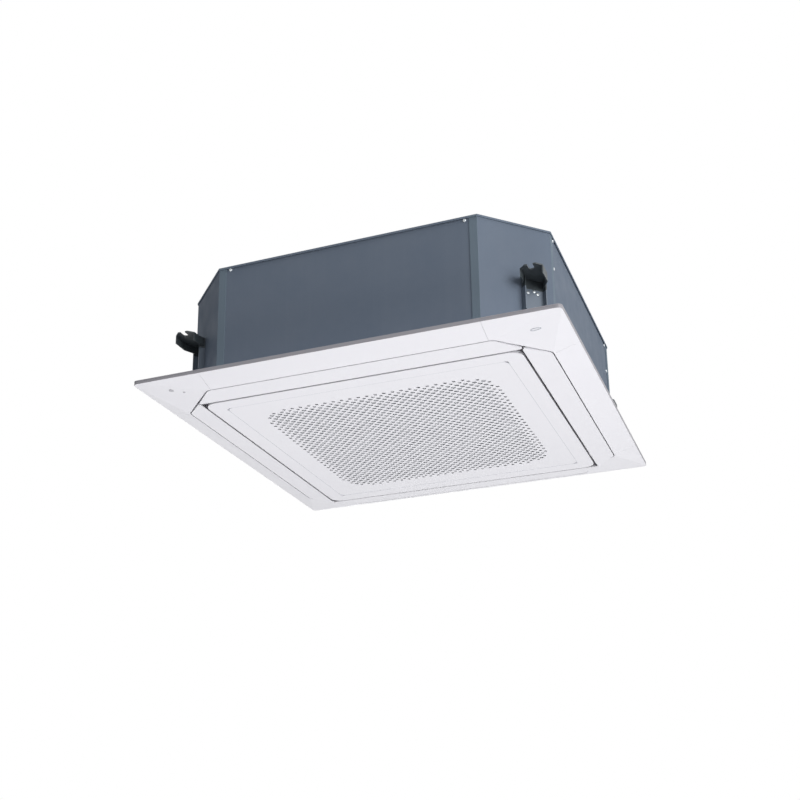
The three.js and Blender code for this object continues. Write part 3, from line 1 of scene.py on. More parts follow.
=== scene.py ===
"""Looks of a ceiling cassette air conditioner, seen from below and to the right of its front.

Metres, +Z up, the ceiling plane at z = 0. -Y is the front and +X the right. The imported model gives
every size and place; this script adds fine geometry, materials, lamps and the camera.
"""
import json
import math

import bmesh
import bpy
from mathutils import Matrix, Vector


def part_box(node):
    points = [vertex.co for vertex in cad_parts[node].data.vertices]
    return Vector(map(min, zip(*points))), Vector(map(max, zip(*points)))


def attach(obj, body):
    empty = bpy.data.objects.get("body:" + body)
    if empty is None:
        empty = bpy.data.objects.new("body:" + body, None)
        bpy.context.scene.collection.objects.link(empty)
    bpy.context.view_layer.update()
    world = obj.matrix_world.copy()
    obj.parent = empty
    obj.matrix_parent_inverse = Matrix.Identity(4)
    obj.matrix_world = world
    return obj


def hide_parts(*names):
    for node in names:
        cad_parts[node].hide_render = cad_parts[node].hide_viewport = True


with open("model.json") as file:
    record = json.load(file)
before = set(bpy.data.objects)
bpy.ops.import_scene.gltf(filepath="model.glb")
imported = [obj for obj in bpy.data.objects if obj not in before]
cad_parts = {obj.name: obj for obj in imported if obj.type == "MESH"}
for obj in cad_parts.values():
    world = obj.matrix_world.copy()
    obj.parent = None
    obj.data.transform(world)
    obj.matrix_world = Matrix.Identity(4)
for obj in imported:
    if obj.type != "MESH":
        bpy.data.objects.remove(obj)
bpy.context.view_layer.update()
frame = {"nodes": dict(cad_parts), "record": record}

NODES = frame["nodes"]
SLOT_OF = {part["node"]: part["material_slot"] for part in frame["record"]["subparts"]}
BODIES = frame["record"]["behaviour"]["bodies"]
BODY_OF = {node: body for body, nodes in BODIES.items() for node in nodes}

# ---- camera ------------------------------------------------------------------------------
CAMERA_TURN = 0.3555            # radians round the object, from straight in front
CAMERA_TILT = -0.3101           # radians above the object; it looks up
CAMERA_ROLL = -0.0153
CAMERA_DISTANCE = 2.90438
CAMERA_SLIDE = (-0.03469, -0.2244)      # across and up, in the camera's own directions
FOCAL_PIXELS = 1215.37
PICTURE = 800
SENSOR = 36.0
SHIFT_UP = 0.15                 # the optical axis lies this share of the picture below its middle
CLIP_END = 60

# ---- light -------------------------------------------------------------------------------
FLOOR_LEVEL = -4.0
FLOOR_SIZE = 24.0
FLOOR_FADE = (5.0, 9.0, 0.80, 1.0)      # two distances from the object, and the glow at each
FLOOR_GREY = (0.8, 0.8, 0.8, 1)
AMBIENT = 0.24
AMBIENT_TINT = (0.93, 0.96, 1, 1)
WHITE = (1, 1, 1, 1)
# name, place, width of the disc, strength and the point it faces
LAMPS = (
    ("key", (3.4, -1.96, 0.45), 3.4, 0.735, (0, 0, 0.08)),
    ("under", (0.6, -0.9, -3.5), 2.4, 0.725, (0, 0, -0.03)),
    ("over", (0.6, -0.8, 3.0), 2.0, 0.45, (0, 0, 0.26)),
    ("behind", (-1.9, 2.9, 1.4), 2.0, 0.38, (0, 0, 0.08)),
)


def add_camera():
    back = Vector((math.sin(CAMERA_TURN) * math.cos(CAMERA_TILT),
                   -math.cos(CAMERA_TURN) * math.cos(CAMERA_TILT), math.sin(CAMERA_TILT)))
    right = (-back).cross(Vector((0, 0, 1))).normalized()
    up = right.cross(-back)
    place = back * CAMERA_DISTANCE + right * CAMERA_SLIDE[0] + up * CAMERA_SLIDE[1]
    across = right * math.cos(CAMERA_ROLL) + up * math.sin(CAMERA_ROLL)
    above = up * math.cos(CAMERA_ROLL) - right * math.sin(CAMERA_ROLL)
    data = bpy.data.cameras.new("camera")
    data.sensor_width = SENSOR
    data.lens = FOCAL_PIXELS / PICTURE * SENSOR
    data.shift_y = SHIFT_UP
    data.clip_end = CLIP_END
    camera = bpy.data.objects.new("camera", data)
    turn = Matrix((across, above, back)).transposed().to_4x4()
    camera.matrix_world = Matrix.Translation(place) @ turn
    bpy.context.collection.objects.link(camera)
    bpy.context.scene.camera = camera


def add_lamp(name, place, size, strength, target):
    """strength is the irradiance at the target, as a share of what shows a colour as written."""
    place = Vector(place)
    toward = Vector(target) - place
    data = bpy.data.lights.new(name, "AREA")
    data.shape = "DISK"
    data.size = size
    data.energy = strength * math.pi ** 2 * toward.length_squared
    lamp = bpy.data.objects.new(name, data)
    lamp.rotation_euler = toward.to_track_quat("-Z", "Y").to_euler()
    lamp.location = place
    lamp.visible_camera = False
    bpy.context.collection.objects.link(lamp)


def seen_directly(nodes, links):
    """1 on rays that show the white background: camera, glossy and transmission rays."""
    path = nodes.new("ShaderNodeLightPath")
    either = nodes.new("ShaderNodeMath")
    either.operation = "MAXIMUM"
    links.new(path.outputs["Is Camera Ray"], either.inputs[0])
    links.new(path.outputs["Is Glossy Ray"], either.inputs[1])
    both = nodes.new("ShaderNodeMath")
    both.operation = "MAXIMUM"
    links.new(either.outputs[0], both.inputs[0])
    links.new(path.outputs["Is Transmission Ray"], both.inputs[1])
    return both.outputs[0]


def add_world():
    world = bpy.data.worlds.new("studio")
    bpy.context.scene.world = world
    world.use_nodes = True
    nodes, links = world.node_tree.nodes, world.node_tree.links
    nodes.clear()
    out = nodes.new("ShaderNodeOutputWorld")
    mix = nodes.new("ShaderNodeMixShader")
    dim = nodes.new("ShaderNodeBackground")
    dim.inputs["Color"].default_value = AMBIENT_TINT
    dim.inputs["Strength"].default_value = AMBIENT
    white = nodes.new("ShaderNodeBackground")
    white.inputs["Color"].default_value = WHITE
    links.new(seen_directly(nodes, links), mix.inputs[0])
    links.new(dim.outputs[0], mix.inputs[1])
    links.new(white.outputs[0], mix.inputs[2])
    links.new(mix.outputs[0], out.inputs[0])


def floor_fade(nodes, links):
    """Glow of the floor: it keeps a shadow near the object and runs into the backdrop far off."""
    place = nodes.new("ShaderNodeTexCoord")
    away = nodes.new("ShaderNodeVectorMath")
    away.operation = "LENGTH"
    links.new(place.outputs["Object"], away.inputs[0])
    fade = nodes.new("ShaderNodeMapRange")
    for name, value in zip(("From Min", "From Max", "To Min", "To Max"), FLOOR_FADE):
        fade.inputs[name].default_value = value
    links.new(away.outputs["Value"], fade.inputs["Value"])
    return fade.outputs["Result"]


def add_floor():
    mesh = bpy.data.meshes.new("floor")
    half = FLOOR_SIZE / 2
    mesh.from_pydata([(-half, -half, FLOOR_LEVEL), (half, -half, FLOOR_LEVEL),
                      (half, half, FLOOR_LEVEL), (-half, half, FLOOR_LEVEL)], [], [(0, 1, 2, 3)])
    floor = bpy.data.objects.new("floor", mesh)
    bpy.context.collection.objects.link(floor)
    look = bpy.data.materials.new("floor")
    look.use_nodes = True
    nodes, links = look.node_tree.nodes, look.node_tree.links
    nodes.clear()
    out = nodes.new("ShaderNodeOutputMaterial")
    mix = nodes.new("ShaderNodeMixShader")
    matte = nodes.new("ShaderNodeBsdfDiffuse")
    matte.inputs["Color"].default_value = FLOOR_GREY
    pale = nodes.new("ShaderNodeAddShader")
    glow = nodes.new("ShaderNodeEmission")
    links.new(floor_fade(nodes, links), glow.inputs["Strength"])
    links.new(matte.outputs[0], pale.inputs[0])
    links.new(glow.outputs[0], pale.inputs[1])
    links.new(seen_directly(nodes, links), mix.inputs[0])
    links.new(matte.outputs[0], mix.inputs[1])
    links.new(pale.outputs[0], mix.inputs[2])
    links.new(mix.outputs[0], out.inputs[0])
    mesh.materials.append(look)


# ---- materials ---------------------------------------------------------------------------

class Look:
    """A Principled material that is built up from procedural layers in object space."""

    def __init__(self, name, color, roughness, metallic=0.0, **values):
        self.material = bpy.data.materials.new(name)
        self.material.use_nodes = True
        self.nodes = self.material.node_tree.nodes
        self.links = self.material.node_tree.links
        self.shader = self.nodes["Principled BSDF"]
        self.shader.inputs["Base Color"].default_value = (*color, 1)
        self.shader.inputs["Roughness"].default_value = roughness
        self.shader.inputs["Metallic"].default_value = metallic
        for key, value in values.items():
            self.shader.inputs[key.replace("_", " ").title().replace("Ior", "IOR")].default_value = value
        self.color = color
        self.last_color = None
        self.last_bump = None
        coordinates = self.nodes.new("ShaderNodeTexCoord")
        self.place = coordinates.outputs["Object"]
        geometry = self.nodes.new("ShaderNodeNewGeometry")
        self.normal = geometry.outputs["Normal"]

    def scaled(self, scale):
        stretch = self.nodes.new("ShaderNodeMapping")
        stretch.inputs["Scale"].default_value = scale
        self.links.new(self.place, stretch.inputs["Vector"])
        return stretch.outputs[0]

    def noise(self, scale, detail=3.0, stretch=(1, 1, 1), roughness=0.5):
        cloud = self.nodes.new("ShaderNodeTexNoise")
        cloud.inputs["Scale"].default_value = scale
        cloud.inputs["Detail"].default_value = detail
        cloud.inputs["Roughness"].default_value = roughness
        self.links.new(self.scaled(stretch), cloud.inputs["Vector"])
        return cloud.outputs["Fac"]

    def between(self, source, low, high, to_low=0.0, to_high=1.0):
        ramp = self.nodes.new("ShaderNodeMapRange")
        ramp.inputs["From Min"].default_value = low
        ramp.inputs["From Max"].default_value = high
        ramp.inputs["To Min"].default_value = to_low
        ramp.inputs["To Max"].default_value = to_high
        self.links.new(source, ramp.inputs["Value"])
        return ramp.outputs["Result"]

    def math(self, operation, first, second):
        node = self.nodes.new("ShaderNodeMath")
        node.operation = operation
        for socket, value in zip(node.inputs, (first, second)):
            if isinstance(value, (int, float)):
                socket.default_value = value
            else:
                self.links.new(value, socket)
        return node.outputs[0]

    def tint(self, mask, color):
        """Where mask is 1, the colour changes to this one."""
        mix = self.nodes.new("ShaderNodeMix")
        mix.data_type = "RGBA"
        mix.inputs["A"].default_value = (*self.color, 1)
        mix.inputs["B"].default_value = (*color, 1)
        if self.last_color:
            self.links.new(self.last_color, mix.inputs["A"])
        self.links.new(mask, mix.inputs["Factor"])
        self.last_color = mix.outputs["Result"]
        self.links.new(self.last_color, self.shader.inputs["Base Color"])
        return self

    def grain(self, height, depth):
        """Bump from a height pattern; depth is in metres."""
        bump = self.nodes.new("ShaderNodeBump")
        bump.inputs["Distance"].default_value = depth
        bump.inputs["Strength"].default_value = 1.0
        self.links.new(height, bump.inputs["Height"])
        if self.last_bump:
            self.links.new(self.last_bump, bump.inputs["Normal"])
        self.last_bump = bump.outputs["Normal"]
        self.links.new(self.last_bump, self.shader.inputs["Normal"])
        return self

    def sheen_from(self, pattern, low, high):
        """Roughness that follows a pattern from low to high."""
        self.links.new(self.between(pattern, 0.3, 0.7, low, high), self.shader.inputs["Roughness"])
        return self

    def axis(self, source, name):
        split = self.nodes.new("ShaderNodeSeparateXYZ")
        self.links.new(source, split.inputs[0])
        return split.outputs[name]

    # distances from the middle, for marks on one part of a node

    def sides(self):
        return [self.math("ABSOLUTE", self.axis(self.place, name), 0.0) for name in "XY"]

    def far_side(self):
        return self.math("MAXIMUM", *self.sides())

    def near_side(self):
        return self.math("MINIMUM", *self.sides())

    def outward(self):
        """1 where a face looks away from the middle across a cut corner."""
        parts = [self.math("ABSOLUTE", self.axis(self.normal, name), 0.0) for name in "XY"]
        return self.math("MULTIPLY", self.math("ADD", *parts), math.sqrt(0.5))


PANEL_WHITE = (0.80, 0.79, 0.825)
PANEL_CLOUD = (0.775, 0.765, 0.805)
# painted shade: the grey of the panel's upright rim side
RIM_PAINTED_SHADE = (0.35, 0.338, 0.366)
STEEL_BLUE = (0.160, 0.192, 0.243)
STEEL_PATCH = (0.135, 0.170, 0.225)
# painted highlight: the lighter tone of the casing along the corner sheets' laps
STEEL_LAP_HIGHLIGHT = (0.166, 0.215, 0.256)
STEEL_STREAK = (0.19, 0.225, 0.27)
# painted shade: the near black of a hanging bracket's flanges, head and ear
BRACKET_PAINTED_SHADE = (0.058, 0.070, 0.077)
# lighter mottling at random on the brackets
BRACKET_MOTTLE = (0.085, 0.100, 0.108)
BRACKET_WEB = (0.150, 0.182, 0.225)
FOAM_GREY = (0.66, 0.67, 0.68)
FOAM_PATCH = (0.58, 0.60, 0.61)
CLOTH_GREY = (0.68, 0.69, 0.71)
CLOTH_NET = (0.50, 0.51, 0.53)
FIN_GREY = (0.62, 0.66, 0.70)
LENS_GREY = (0.40, 0.40, 0.43)
LENS_CLOUD = (0.46, 0.45, 0.47)
RIM_TOP = -0.0086               # the panel's upright rim lies above this level; it takes the painted shade
RIM_SIDE = 0.4715               # and beyond this distance from the middle
STRIP_FROM = 0.2815             # corner sheets' laps on the sides, from the middle, where the painted highlight lies
STRIP_TO = 0.2995
STRIP_TOP = 0.2623              # the laps end under the lid
BRACKET_HEAD = 0.114            # folded head of a hanging bracket above this level
WEB_FACING = 0.9                # outward() on its slanting web, at least


def panel_plastic():
    look = Look("panel_plastic", PANEL_WHITE, 0.5, specular_ior_level=0.3)
    cloud = look.noise(3.0, 2.0)
    look.tint(look.between(cloud, 0.35, 0.75, 0.0, 0.5), PANEL_CLOUD)
    # the white plastic of the upright rim side is tinted grey: painted shade where it faces the camera
    rim = look.math("MULTIPLY", look.math("GREATER_THAN", look.far_side(), RIM_SIDE),
                    look.math("GREATER_THAN", look.axis(look.place, "Z"), RIM_TOP))
    look.tint(rim, RIM_PAINTED_SHADE)
    look.grain(look.noise(1400, 2.0), 0.00002)
    look.sheen_from(look.noise(40, 4.0), 0.38, 0.48)
    return look


def casing_steel():
    look = Look("casing_steel", STEEL_BLUE, 0.6, specular_ior_level=0.05)
    patches = look.noise(9.0, 5.0, roughness=0.65)
    look.tint(look.between(patches, 0.35, 0.7, 0.0, 0.55), STEEL_PATCH)
    # the laps are real sheet; their lighter colour is a painted highlight along the bends
    lap_highlight = look.math("MULTIPLY", look.math("GREATER_THAN", look.near_side(), STRIP_FROM),
                    look.math("LESS_THAN", look.near_side(), STRIP_TO))
    lap_highlight = look.math("MULTIPLY", lap_highlight, look.math("LESS_THAN", look.axis(look.place, "Z"), STRIP_TOP))
    look.tint(look.math("MULTIPLY", lap_highlight, 0.7), STEEL_LAP_HIGHLIGHT)
    streaks = look.noise(70, 3.0, stretch=(1, 1, 0.04))
    look.tint(look.between(streaks, 0.5, 0.8, 0.0, 0.15), STEEL_STREAK)
    spangle = look.noise(220, 2.0)
    look.grain(spangle, 0.00003)
    look.sheen_from(look.noise(25, 4.0), 0.5, 0.66)
    return look


def bracket_steel():
    # the bracket's near-black base colour is painted shade; only the web's outward faces below the head
    # keep the casing's lit blue
    look = Look("bracket_steel", BRACKET_PAINTED_SHADE, 0.42, specular_ior_level=0.35)
    # lighter mottling at random over the bracket
    look.tint(look.between(look.noise(60, 4.0), 0.45, 0.75, 0.0, 0.5), BRACKET_MOTTLE)
    web = look.math("MULTIPLY", look.math("GREATER_THAN", look.outward(), WEB_FACING),
                    look.math("LESS_THAN", look.axis(look.place, "Z"), BRACKET_HEAD))
    look.tint(web, BRACKET_WEB)
    look.grain(look.noise(500, 2.0), 0.00003)
    look.sheen_from(look.noise(45, 3.0), 0.36, 0.55)
    return look


def moulded(name, color, roughness=0.5, second=None):
    look = Look(name, color, roughness)
    second = second or tuple(c * 0.85 for c in color)
    look.tint(look.between(look.noise(12, 4.0), 0.4, 0.75, 0.0, 0.6), second)
    look.grain(look.noise(900, 2.0), 0.00003)
    look.sheen_from(look.noise(35, 3.0), roughness - 0.06, roughness + 0.08)
    return look


def foam():
    look = Look("foam", FOAM_GREY, 0.85)
    cells = look.nodes.new("ShaderNodeTexVoronoi")
    cells.inputs["Scale"].default_value = 260
    look.links.new(look.place, cells.inputs["Vector"])
    look.grain(cells.outputs["Distance"], 0.0005)
    look.tint(look.between(look.noise(8, 3.0), 0.4, 0.7, 0.0, 0.5), FOAM_PATCH)
    return look


def metal(name, color, roughness, second=None):
    look = Look(name, color, roughness, metallic=1.0)
    second = second or tuple(c * 0.7 for c in color)
    look.tint(look.between(look.noise(30, 4.0), 0.4, 0.75, 0.0, 0.6), second)
    look.grain(look.noise(420, 2.0), 0.00002)
    look.sheen_from(look.noise(60, 3.0), roughness - 0.08, roughness + 0.12)
    return look


def filter_cloth():
    look = Look("filter_cloth", CLOTH_GREY, 0.8)
    waves = []
    for turn in ("X", "Y"):
        wave = look.nodes.new("ShaderNodeTexWave")
        wave.bands_direction = turn
        wave.inputs["Scale"].default_value = 160
        look.links.new(look.place, wave.inputs["Vector"])
        waves.append(wave.outputs["Fac"])
    net = look.math("MINIMUM", *waves)
    look.tint(net, CLOTH_NET)
    look.grain(net, -0.0004)
    return look


def fins():
    look = metal("fin_stock", FIN_GREY, 0.35)
    for turn in ("X", "Y"):
        wave = look.nodes.new("ShaderNodeTexWave")
        wave.bands_direction = turn
        wave.inputs["Scale"].default_value = 150
        look.links.new(look.place, wave.inputs["Vector"])
        look.grain(wave.outputs["Fac"], 0.0006)
    return look


def lens():
    look = Look("lens", LENS_GREY, 0.15)
    look.tint(look.between(look.noise(90, 2.0), 0.4, 0.7, 0.0, 0.4), LENS_CLOUD)
    return look


LOOKS = {
    "panel_plastic": panel_plastic(),
    "casing_steel": casing_steel(),
    "bracket_steel": bracket_steel(),
    "grey_plastic": moulded("grey_plastic", (0.46, 0.48, 0.52)),
    "dark_plastic": moulded("dark_plastic", (0.035, 0.04, 0.045), 0.45, (0.06, 0.065, 0.07)),
    "foam": foam(),
    "seal_rubber": moulded("seal_rubber", (0.03, 0.03, 0.035), 0.75, (0.045, 0.045, 0.05)),
    "fin_stock": fins(),
    "copper": metal("copper", (0.72, 0.33, 0.19), 0.30, second=(0.45, 0.20, 0.12)),
    "bare_steel": metal("bare_steel", (0.55, 0.58, 0.60), 0.38),
    "brass": metal("brass", (0.72, 0.53, 0.25), 0.32),
    "circuit_board": moulded("circuit_board", (0.03, 0.15, 0.06), 0.4),
    "filter_cloth": filter_cloth(),
    "lens": lens(),
}


def dress(piece, slot):
    piece.data.materials.clear()
    piece.data.materials.append(LOOKS[slot].material)


# ---- pieces ------------------------------------------------------------------------------

def new_piece(name, mesh, node, replaces=False, slot=None):
    """A piece that rides with a node's body and takes that node's finish."""
    piece = bpy.data.objects.new(name, mesh)
    bpy.context.collection.objects.link(piece)
    slot = slot or SLOT_OF[node]
    dress(piece, slot)
    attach(piece, BODY_OF[node])
    if replaces:
        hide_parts(node)
    return piece


EDGE_WIDTHS = {"casing_steel": 0.0004, "bracket_steel": 0.0006, "panel_plastic": 0.0005,
               "bare_steel": 0.0003, "dark_plastic": 0.0004}
EDGE_SEGMENTS = 2
EDGE_ANGLE = math.radians(28)
SMOOTH_ANGLE = 35               # degrees
SCREW_SMOOTH_ANGLE = 50


def soften(piece, width):
    bevel = piece.modifiers.new("edge", "BEVEL")
    bevel.width = width
    bevel.segments = EDGE_SEGMENTS
    bevel.limit_method = "ANGLE"
    bevel.angle_limit = EDGE_ANGLE
    bevel.harden_normals = False


def round_shading(piece, angle=SMOOTH_ANGLE):
    piece.data.shade_smooth()
    piece.data.set_sharp_from_angle(angle=math.radians(angle))


def finish_cad_nodes():
    for name, node in NODES.items():
        slot = SLOT_OF[name]
        dress(node, slot)
        round_shading(node)
        if slot in EDGE_WIDTHS:
            soften(node, EDGE_WIDTHS[slot])


PERFORATION_PITCH = 0.020       # square grid, with a second one in its gaps
PERFORATION_REACH = 0.270       # outermost holes from the centre
PERFORATION_RADIUS = 0.0055
PERFORATED_SHEET = 0.0009
FIELD_ROUND = 0.045             # corners of the perforated field
EDGE_HOLES = 0.75               # share of the radius that the outermost holes have
HOLE_SIDES = 12
PLATE_ROUND = 0.016
PLATE_ROUND_STEPS = 8


def rounded_square(half, radius, steps):
    points = []
    for corner, (sx, sy) in enumerate(((1, 1), (-1, 1), (-1, -1), (1, -1))):
        for step in range(steps + 1):
            angle = (corner + step / steps) * math.pi / 2
            points.append(((half - radius) * sx + radius * math.cos(angle),
                           (half - radius) * sy + radius * math.sin(angle)))
    return points


def in_field(x, y):
    over_x = max(abs(x) - (PERFORATION_REACH - FIELD_ROUND), 0)
    over_y = max(abs(y) - (PERFORATION_REACH - FIELD_ROUND), 0)
    return math.hypot(over_x, over_y) <= FIELD_ROUND + 1e-6


def perforation_centres():
    count = int(PERFORATION_REACH / PERFORATION_PITCH * 2) + 1
    for i in range(-count, count + 1):
        for j in range(-count, count + 1):
            if (i + j) % 2 == 0:
                x = i * PERFORATION_PITCH / 2
                y = j * PERFORATION_PITCH / 2
                if in_field(x, y):
                    yield x, y


def flat_plate(outlines, low, high):
    """A sheet between two levels, from a closed outline and the outlines of its holes."""
    curve = bpy.data.curves.new("outline", "CURVE")
    curve.dimensions = "2D"
    curve.fill_mode = "BOTH"
    curve.extrude = (high - low) / 2
    for points in outlines:
        line = curve.splines.new("POLY")
        line.points.add(len(points) - 1)
        for point, (x, y) in zip(line.points, points):
            point.co = (x, y, 0, 1)
        line.use_cyclic_u = True
    holder = bpy.data.objects.new("outline", curve)
    bpy.context.collection.objects.link(holder)
    bpy.context.view_layer.update()
    depsgraph = bpy.context.evaluated_depsgraph_get()
    mesh = bpy.data.meshes.new_from_object(holder.evaluated_get(depsgraph))
    mesh.transform(Matrix.Translation((0, 0, (low + high) / 2)))
    bpy.data.objects.remove(holder)
    bpy.data.curves.remove(curve)
    return mesh


def circle(radius, sides, x=0.0, y=0.0):
    turns = [2 * math.pi * k / sides for k in range(sides)]
    return [(x + radius * math.cos(turn), y + radius * math.sin(turn)) for turn in turns]


def add_perforated_plate():
    low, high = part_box("grille_plate")
    outlines = [rounded_square(high.x, PLATE_ROUND, PLATE_ROUND_STEPS)]
    for x, y in perforation_centres():
        edge = max(abs(x), abs(y)) > PERFORATION_REACH - PERFORATION_PITCH
        outlines.append(circle(PERFORATION_RADIUS * (EDGE_HOLES if edge else 1), HOLE_SIDES, x, y))
    mesh = flat_plate(outlines, low.z, low.z + PERFORATED_SHEET)
    new_piece("perforated_plate", mesh, "grille_plate", replaces=True)


SEAM_WIDTH = 0.0012
SEAM_DEPTH = 0.0004
SEAM_PROUD = 0.0001


def add_plate_seam():
    """The shade line between the perforated plate and the frame round it."""
    low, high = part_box("grille_plate")
    outlines = [rounded_square(high.x + shift, PLATE_ROUND + shift, PLATE_ROUND_STEPS)
                for shift in (SEAM_WIDTH / 2, -SEAM_WIDTH / 2)]
    bottom = low.z - SEAM_PROUD
    mesh = flat_plate(outlines, bottom, bottom + SEAM_DEPTH)
    new_piece("plate_seam", mesh, "grille_frame", slot="grey_plastic")


NET_HALF = 0.316
NET_ROUND = 0.010
NET_ROUND_STEPS = 4
NET_LEVELS = (-0.0276, -0.0274)


def add_lining_net():
    """A fine pale net that lies behind the perforated plate, held by its ledge."""
    mesh = flat_plate([rounded_square(NET_HALF, NET_ROUND, NET_ROUND_STEPS)], *NET_LEVELS)
    new_piece("lining_net", mesh, "filter_sheet")


WELD = 1e-7                     # points nearer than this become one


def lathe(mesh, profile, segments):
    """Adds the solid swept by a closed profile of (radius, z) points round the Z axis."""
    bm = bmesh.new()
    bm.from_mesh(mesh)
    rings = []
    for k in range(segments):
        turn = 2 * math.pi * k / segments
        rings.append([bm.verts.new((r * math.cos(turn), r * math.sin(turn), z)) for r, z in profile])
    count = len(profile)
    for k in range(segments):
        one, other = rings[k], rings[(k + 1) % segments]
        for i in range(count):
            j = (i + 1) % count
            bm.faces.new((one[i], other[i], other[j], one[j]))
    bmesh.ops.remove_doubles(bm, verts=bm.verts, dist=WELD)
    bmesh.ops.recalc_face_normals(bm, faces=bm.faces)
    bm.to_mesh(mesh)
    bm.free()


def thick_line(line, thickness):
    """Outline of a sheet that runs along a line of (radius, z) points."""
    left, right = [], []
    for i, (r, z) in enumerate(line):
        before, after = line[max(i - 1, 0)], line[min(i + 1, len(line) - 1)]
        run, rise = after[0] - before[0], after[1] - before[1]
        length = math.hypot(run, rise)
        shift = (-rise / length * thickness / 2, run / length * thickness / 2)
        left.append((r + shift[0], z + shift[1]))
        right.append((r - shift[0], z - shift[1]))
    return left + right[::-1]


BELL_MOUTH = 0.188
BELL_THROAT = 0.150
BELL_WALL = 0.0025
BELL_RISE = 0.050
BELL_START = 0.0012             # lowest point of the curve, above the plate's underside
BELL_STEPS = 16
BELL_SHEET = 0.002
BELL_LIFT = 0.0001
BELL_LAP = 0.0005               # plate that reaches under the rim of the curve
BELL_ROUND = 0.020              # corners of the plate
BELL_ROUND_STEPS = 6
ROUND_SEGMENTS = 120
BOX_WINDOW = (-0.260, -0.198, -0.172, 0.172)     # opening round the electrical box


def add_bell():
    low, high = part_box("bell_mouth")
    x0, x1, y0, y1 = BOX_WINDOW
    window = [(x0, y0), (x1, y0), (x1, y1), (x0, y1)]
    outlines = [rounded_square(high.x, BELL_ROUND, BELL_ROUND_STEPS),
                circle(BELL_MOUTH - BELL_LAP, ROUND_SEGMENTS), window]
    mesh = flat_plate(outlines, low.z + BELL_LIFT, low.z + BELL_LIFT + BELL_SHEET)
    line = []
    for step in range(BELL_STEPS + 1):
        turn = step / BELL_STEPS * math.pi / 2
        line.append((BELL_MOUTH - (BELL_MOUTH - BELL_THROAT) * math.sin(turn),
                     low.z + BELL_START + BELL_RISE * (1 - math.cos(turn))))
    line.append((BELL_THROAT, high.z))
    lathe(mesh, thick_line(line, BELL_WALL), ROUND_SEGMENTS)
    round_shading(new_piece("bell", mesh, "bell_mouth", replaces=True))


FAN_RADIUS = 0.2315
FAN_EYE = 0.158
FAN_WALL = 0.0026
FAN_LIP = 0.001                 # edge of the eye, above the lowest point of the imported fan
SHROUD_COLLAR = 0.010
SHROUD_RISE = 0.046
SHROUD_STEPS = 14
SHROUD_CROWD = 1.4              # crowds the steps toward the eye
FAN_BLADES = 7
FAN_SWEEP = math.radians(40)
BLADE_THICKNESS = 0.008
BLADE_STEPS = 14
BLADE_START = 0.009             # from the eye
BLADE_END = 0.002               # short of the rim
BLADE_BOW = 0.9
BLADE_EDGE = 0.15               # share of the thickness at both ends,
BLADE_SWELL = 0.88              # and what is added on the way
# radius, and level from the hub plate
CUP = ((0.100, 0), (0.092, -0.003), (0.086, -0.010), (0.068, -0.062), (0.064, -0.069), (0.056, -0.072),
       (0.012, -0.072))
BOSS = ((0.0065, -0.086), (0.014, -0.086), (0.014, -0.071), (0.0065, -0.071))
BOSS_SEGMENTS = 48


def shroud_level(radius, start):
    part = (radius - FAN_EYE) / (FAN_RADIUS - FAN_EYE)
    return start + SHROUD_RISE * math.sqrt(max(0.0, 1 - (1 - part) ** 2))


def turn_fan_shells(mesh, hub, lip):
    """The hub plate with its cup, the shroud with its collar, and the boss."""
    cup = [(FAN_RADIUS, hub)] + [(radius, hub + z) for radius, z in CUP]
    lathe(mesh, thick_line(cup, FAN_WALL), ROUND_SEGMENTS)
    shroud = [(FAN_EYE, lip), (FAN_EYE, lip + SHROUD_COLLAR)]
    for step in range(1, SHROUD_STEPS + 1):
        radius = FAN_EYE + (FAN_RADIUS - FAN_EYE) * (step / SHROUD_STEPS) ** SHROUD_CROWD
        shroud.append((radius, shroud_level(radius, lip + SHROUD_COLLAR)))
    lathe(mesh, thick_line(shroud, FAN_WALL), ROUND_SEGMENTS)
    lathe(mesh, [(radius, hub + z) for radius, z in BOSS], BOSS_SEGMENTS)


def blade_section(blade, part, hub, start):
    """Corners of a blade's upright section, at a part of the way from the eye to the rim."""
    radius = FAN_EYE + BLADE_START + (FAN_RADIUS - BLADE_END - FAN_EYE - BLADE_START) * part
    angle = 2 * math.pi * blade / FAN_BLADES - FAN_SWEEP * part ** BLADE_BOW
    half = BLADE_THICKNESS * (BLADE_EDGE + BLADE_SWELL * math.sqrt(part) * (1 - part)) / radius
    foot = shroud_level(radius, start)
    return [(radius * math.cos(angle + side), radius * math.sin(angle + side), z)
            for side, z in ((half, foot), (half, hub), (-half, hub), (-half, foot))]


def raise_blades(mesh, hub, start):
    bm = bmesh.new()
    bm.from_mesh(mesh)
    for blade in range(FAN_BLADES):
        rows = [[bm.verts.new(point) for point in blade_section(blade, step / BLADE_STEPS, hub, start)]
                for step in range(BLADE_STEPS + 1)]
        for one, other in zip(rows, rows[1:]):
            for i in range(4):
                j = (i + 1) % 4
                bm.faces.new((one[i], one[j], other[j], other[i]))
        bm.faces.new(rows[0][::-1])
        bm.faces.new(rows[-1])
    bmesh.ops.recalc_face_normals(bm, faces=bm.faces)
    bm.to_mesh(mesh)
    bm.free()


def add_fan():
    low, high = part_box("turbo_fan")
    hub = high.z - FAN_WALL / 2
    lip = low.z + FAN_LIP
    mesh = bpy.data.meshes.new("fan")
    turn_fan_shells(mesh, hub, lip)
    raise_blades(mesh, hub, lip + SHROUD_COLLAR)
    round_shading(new_piece("fan_smooth", mesh, "turbo_fan", replaces=True))


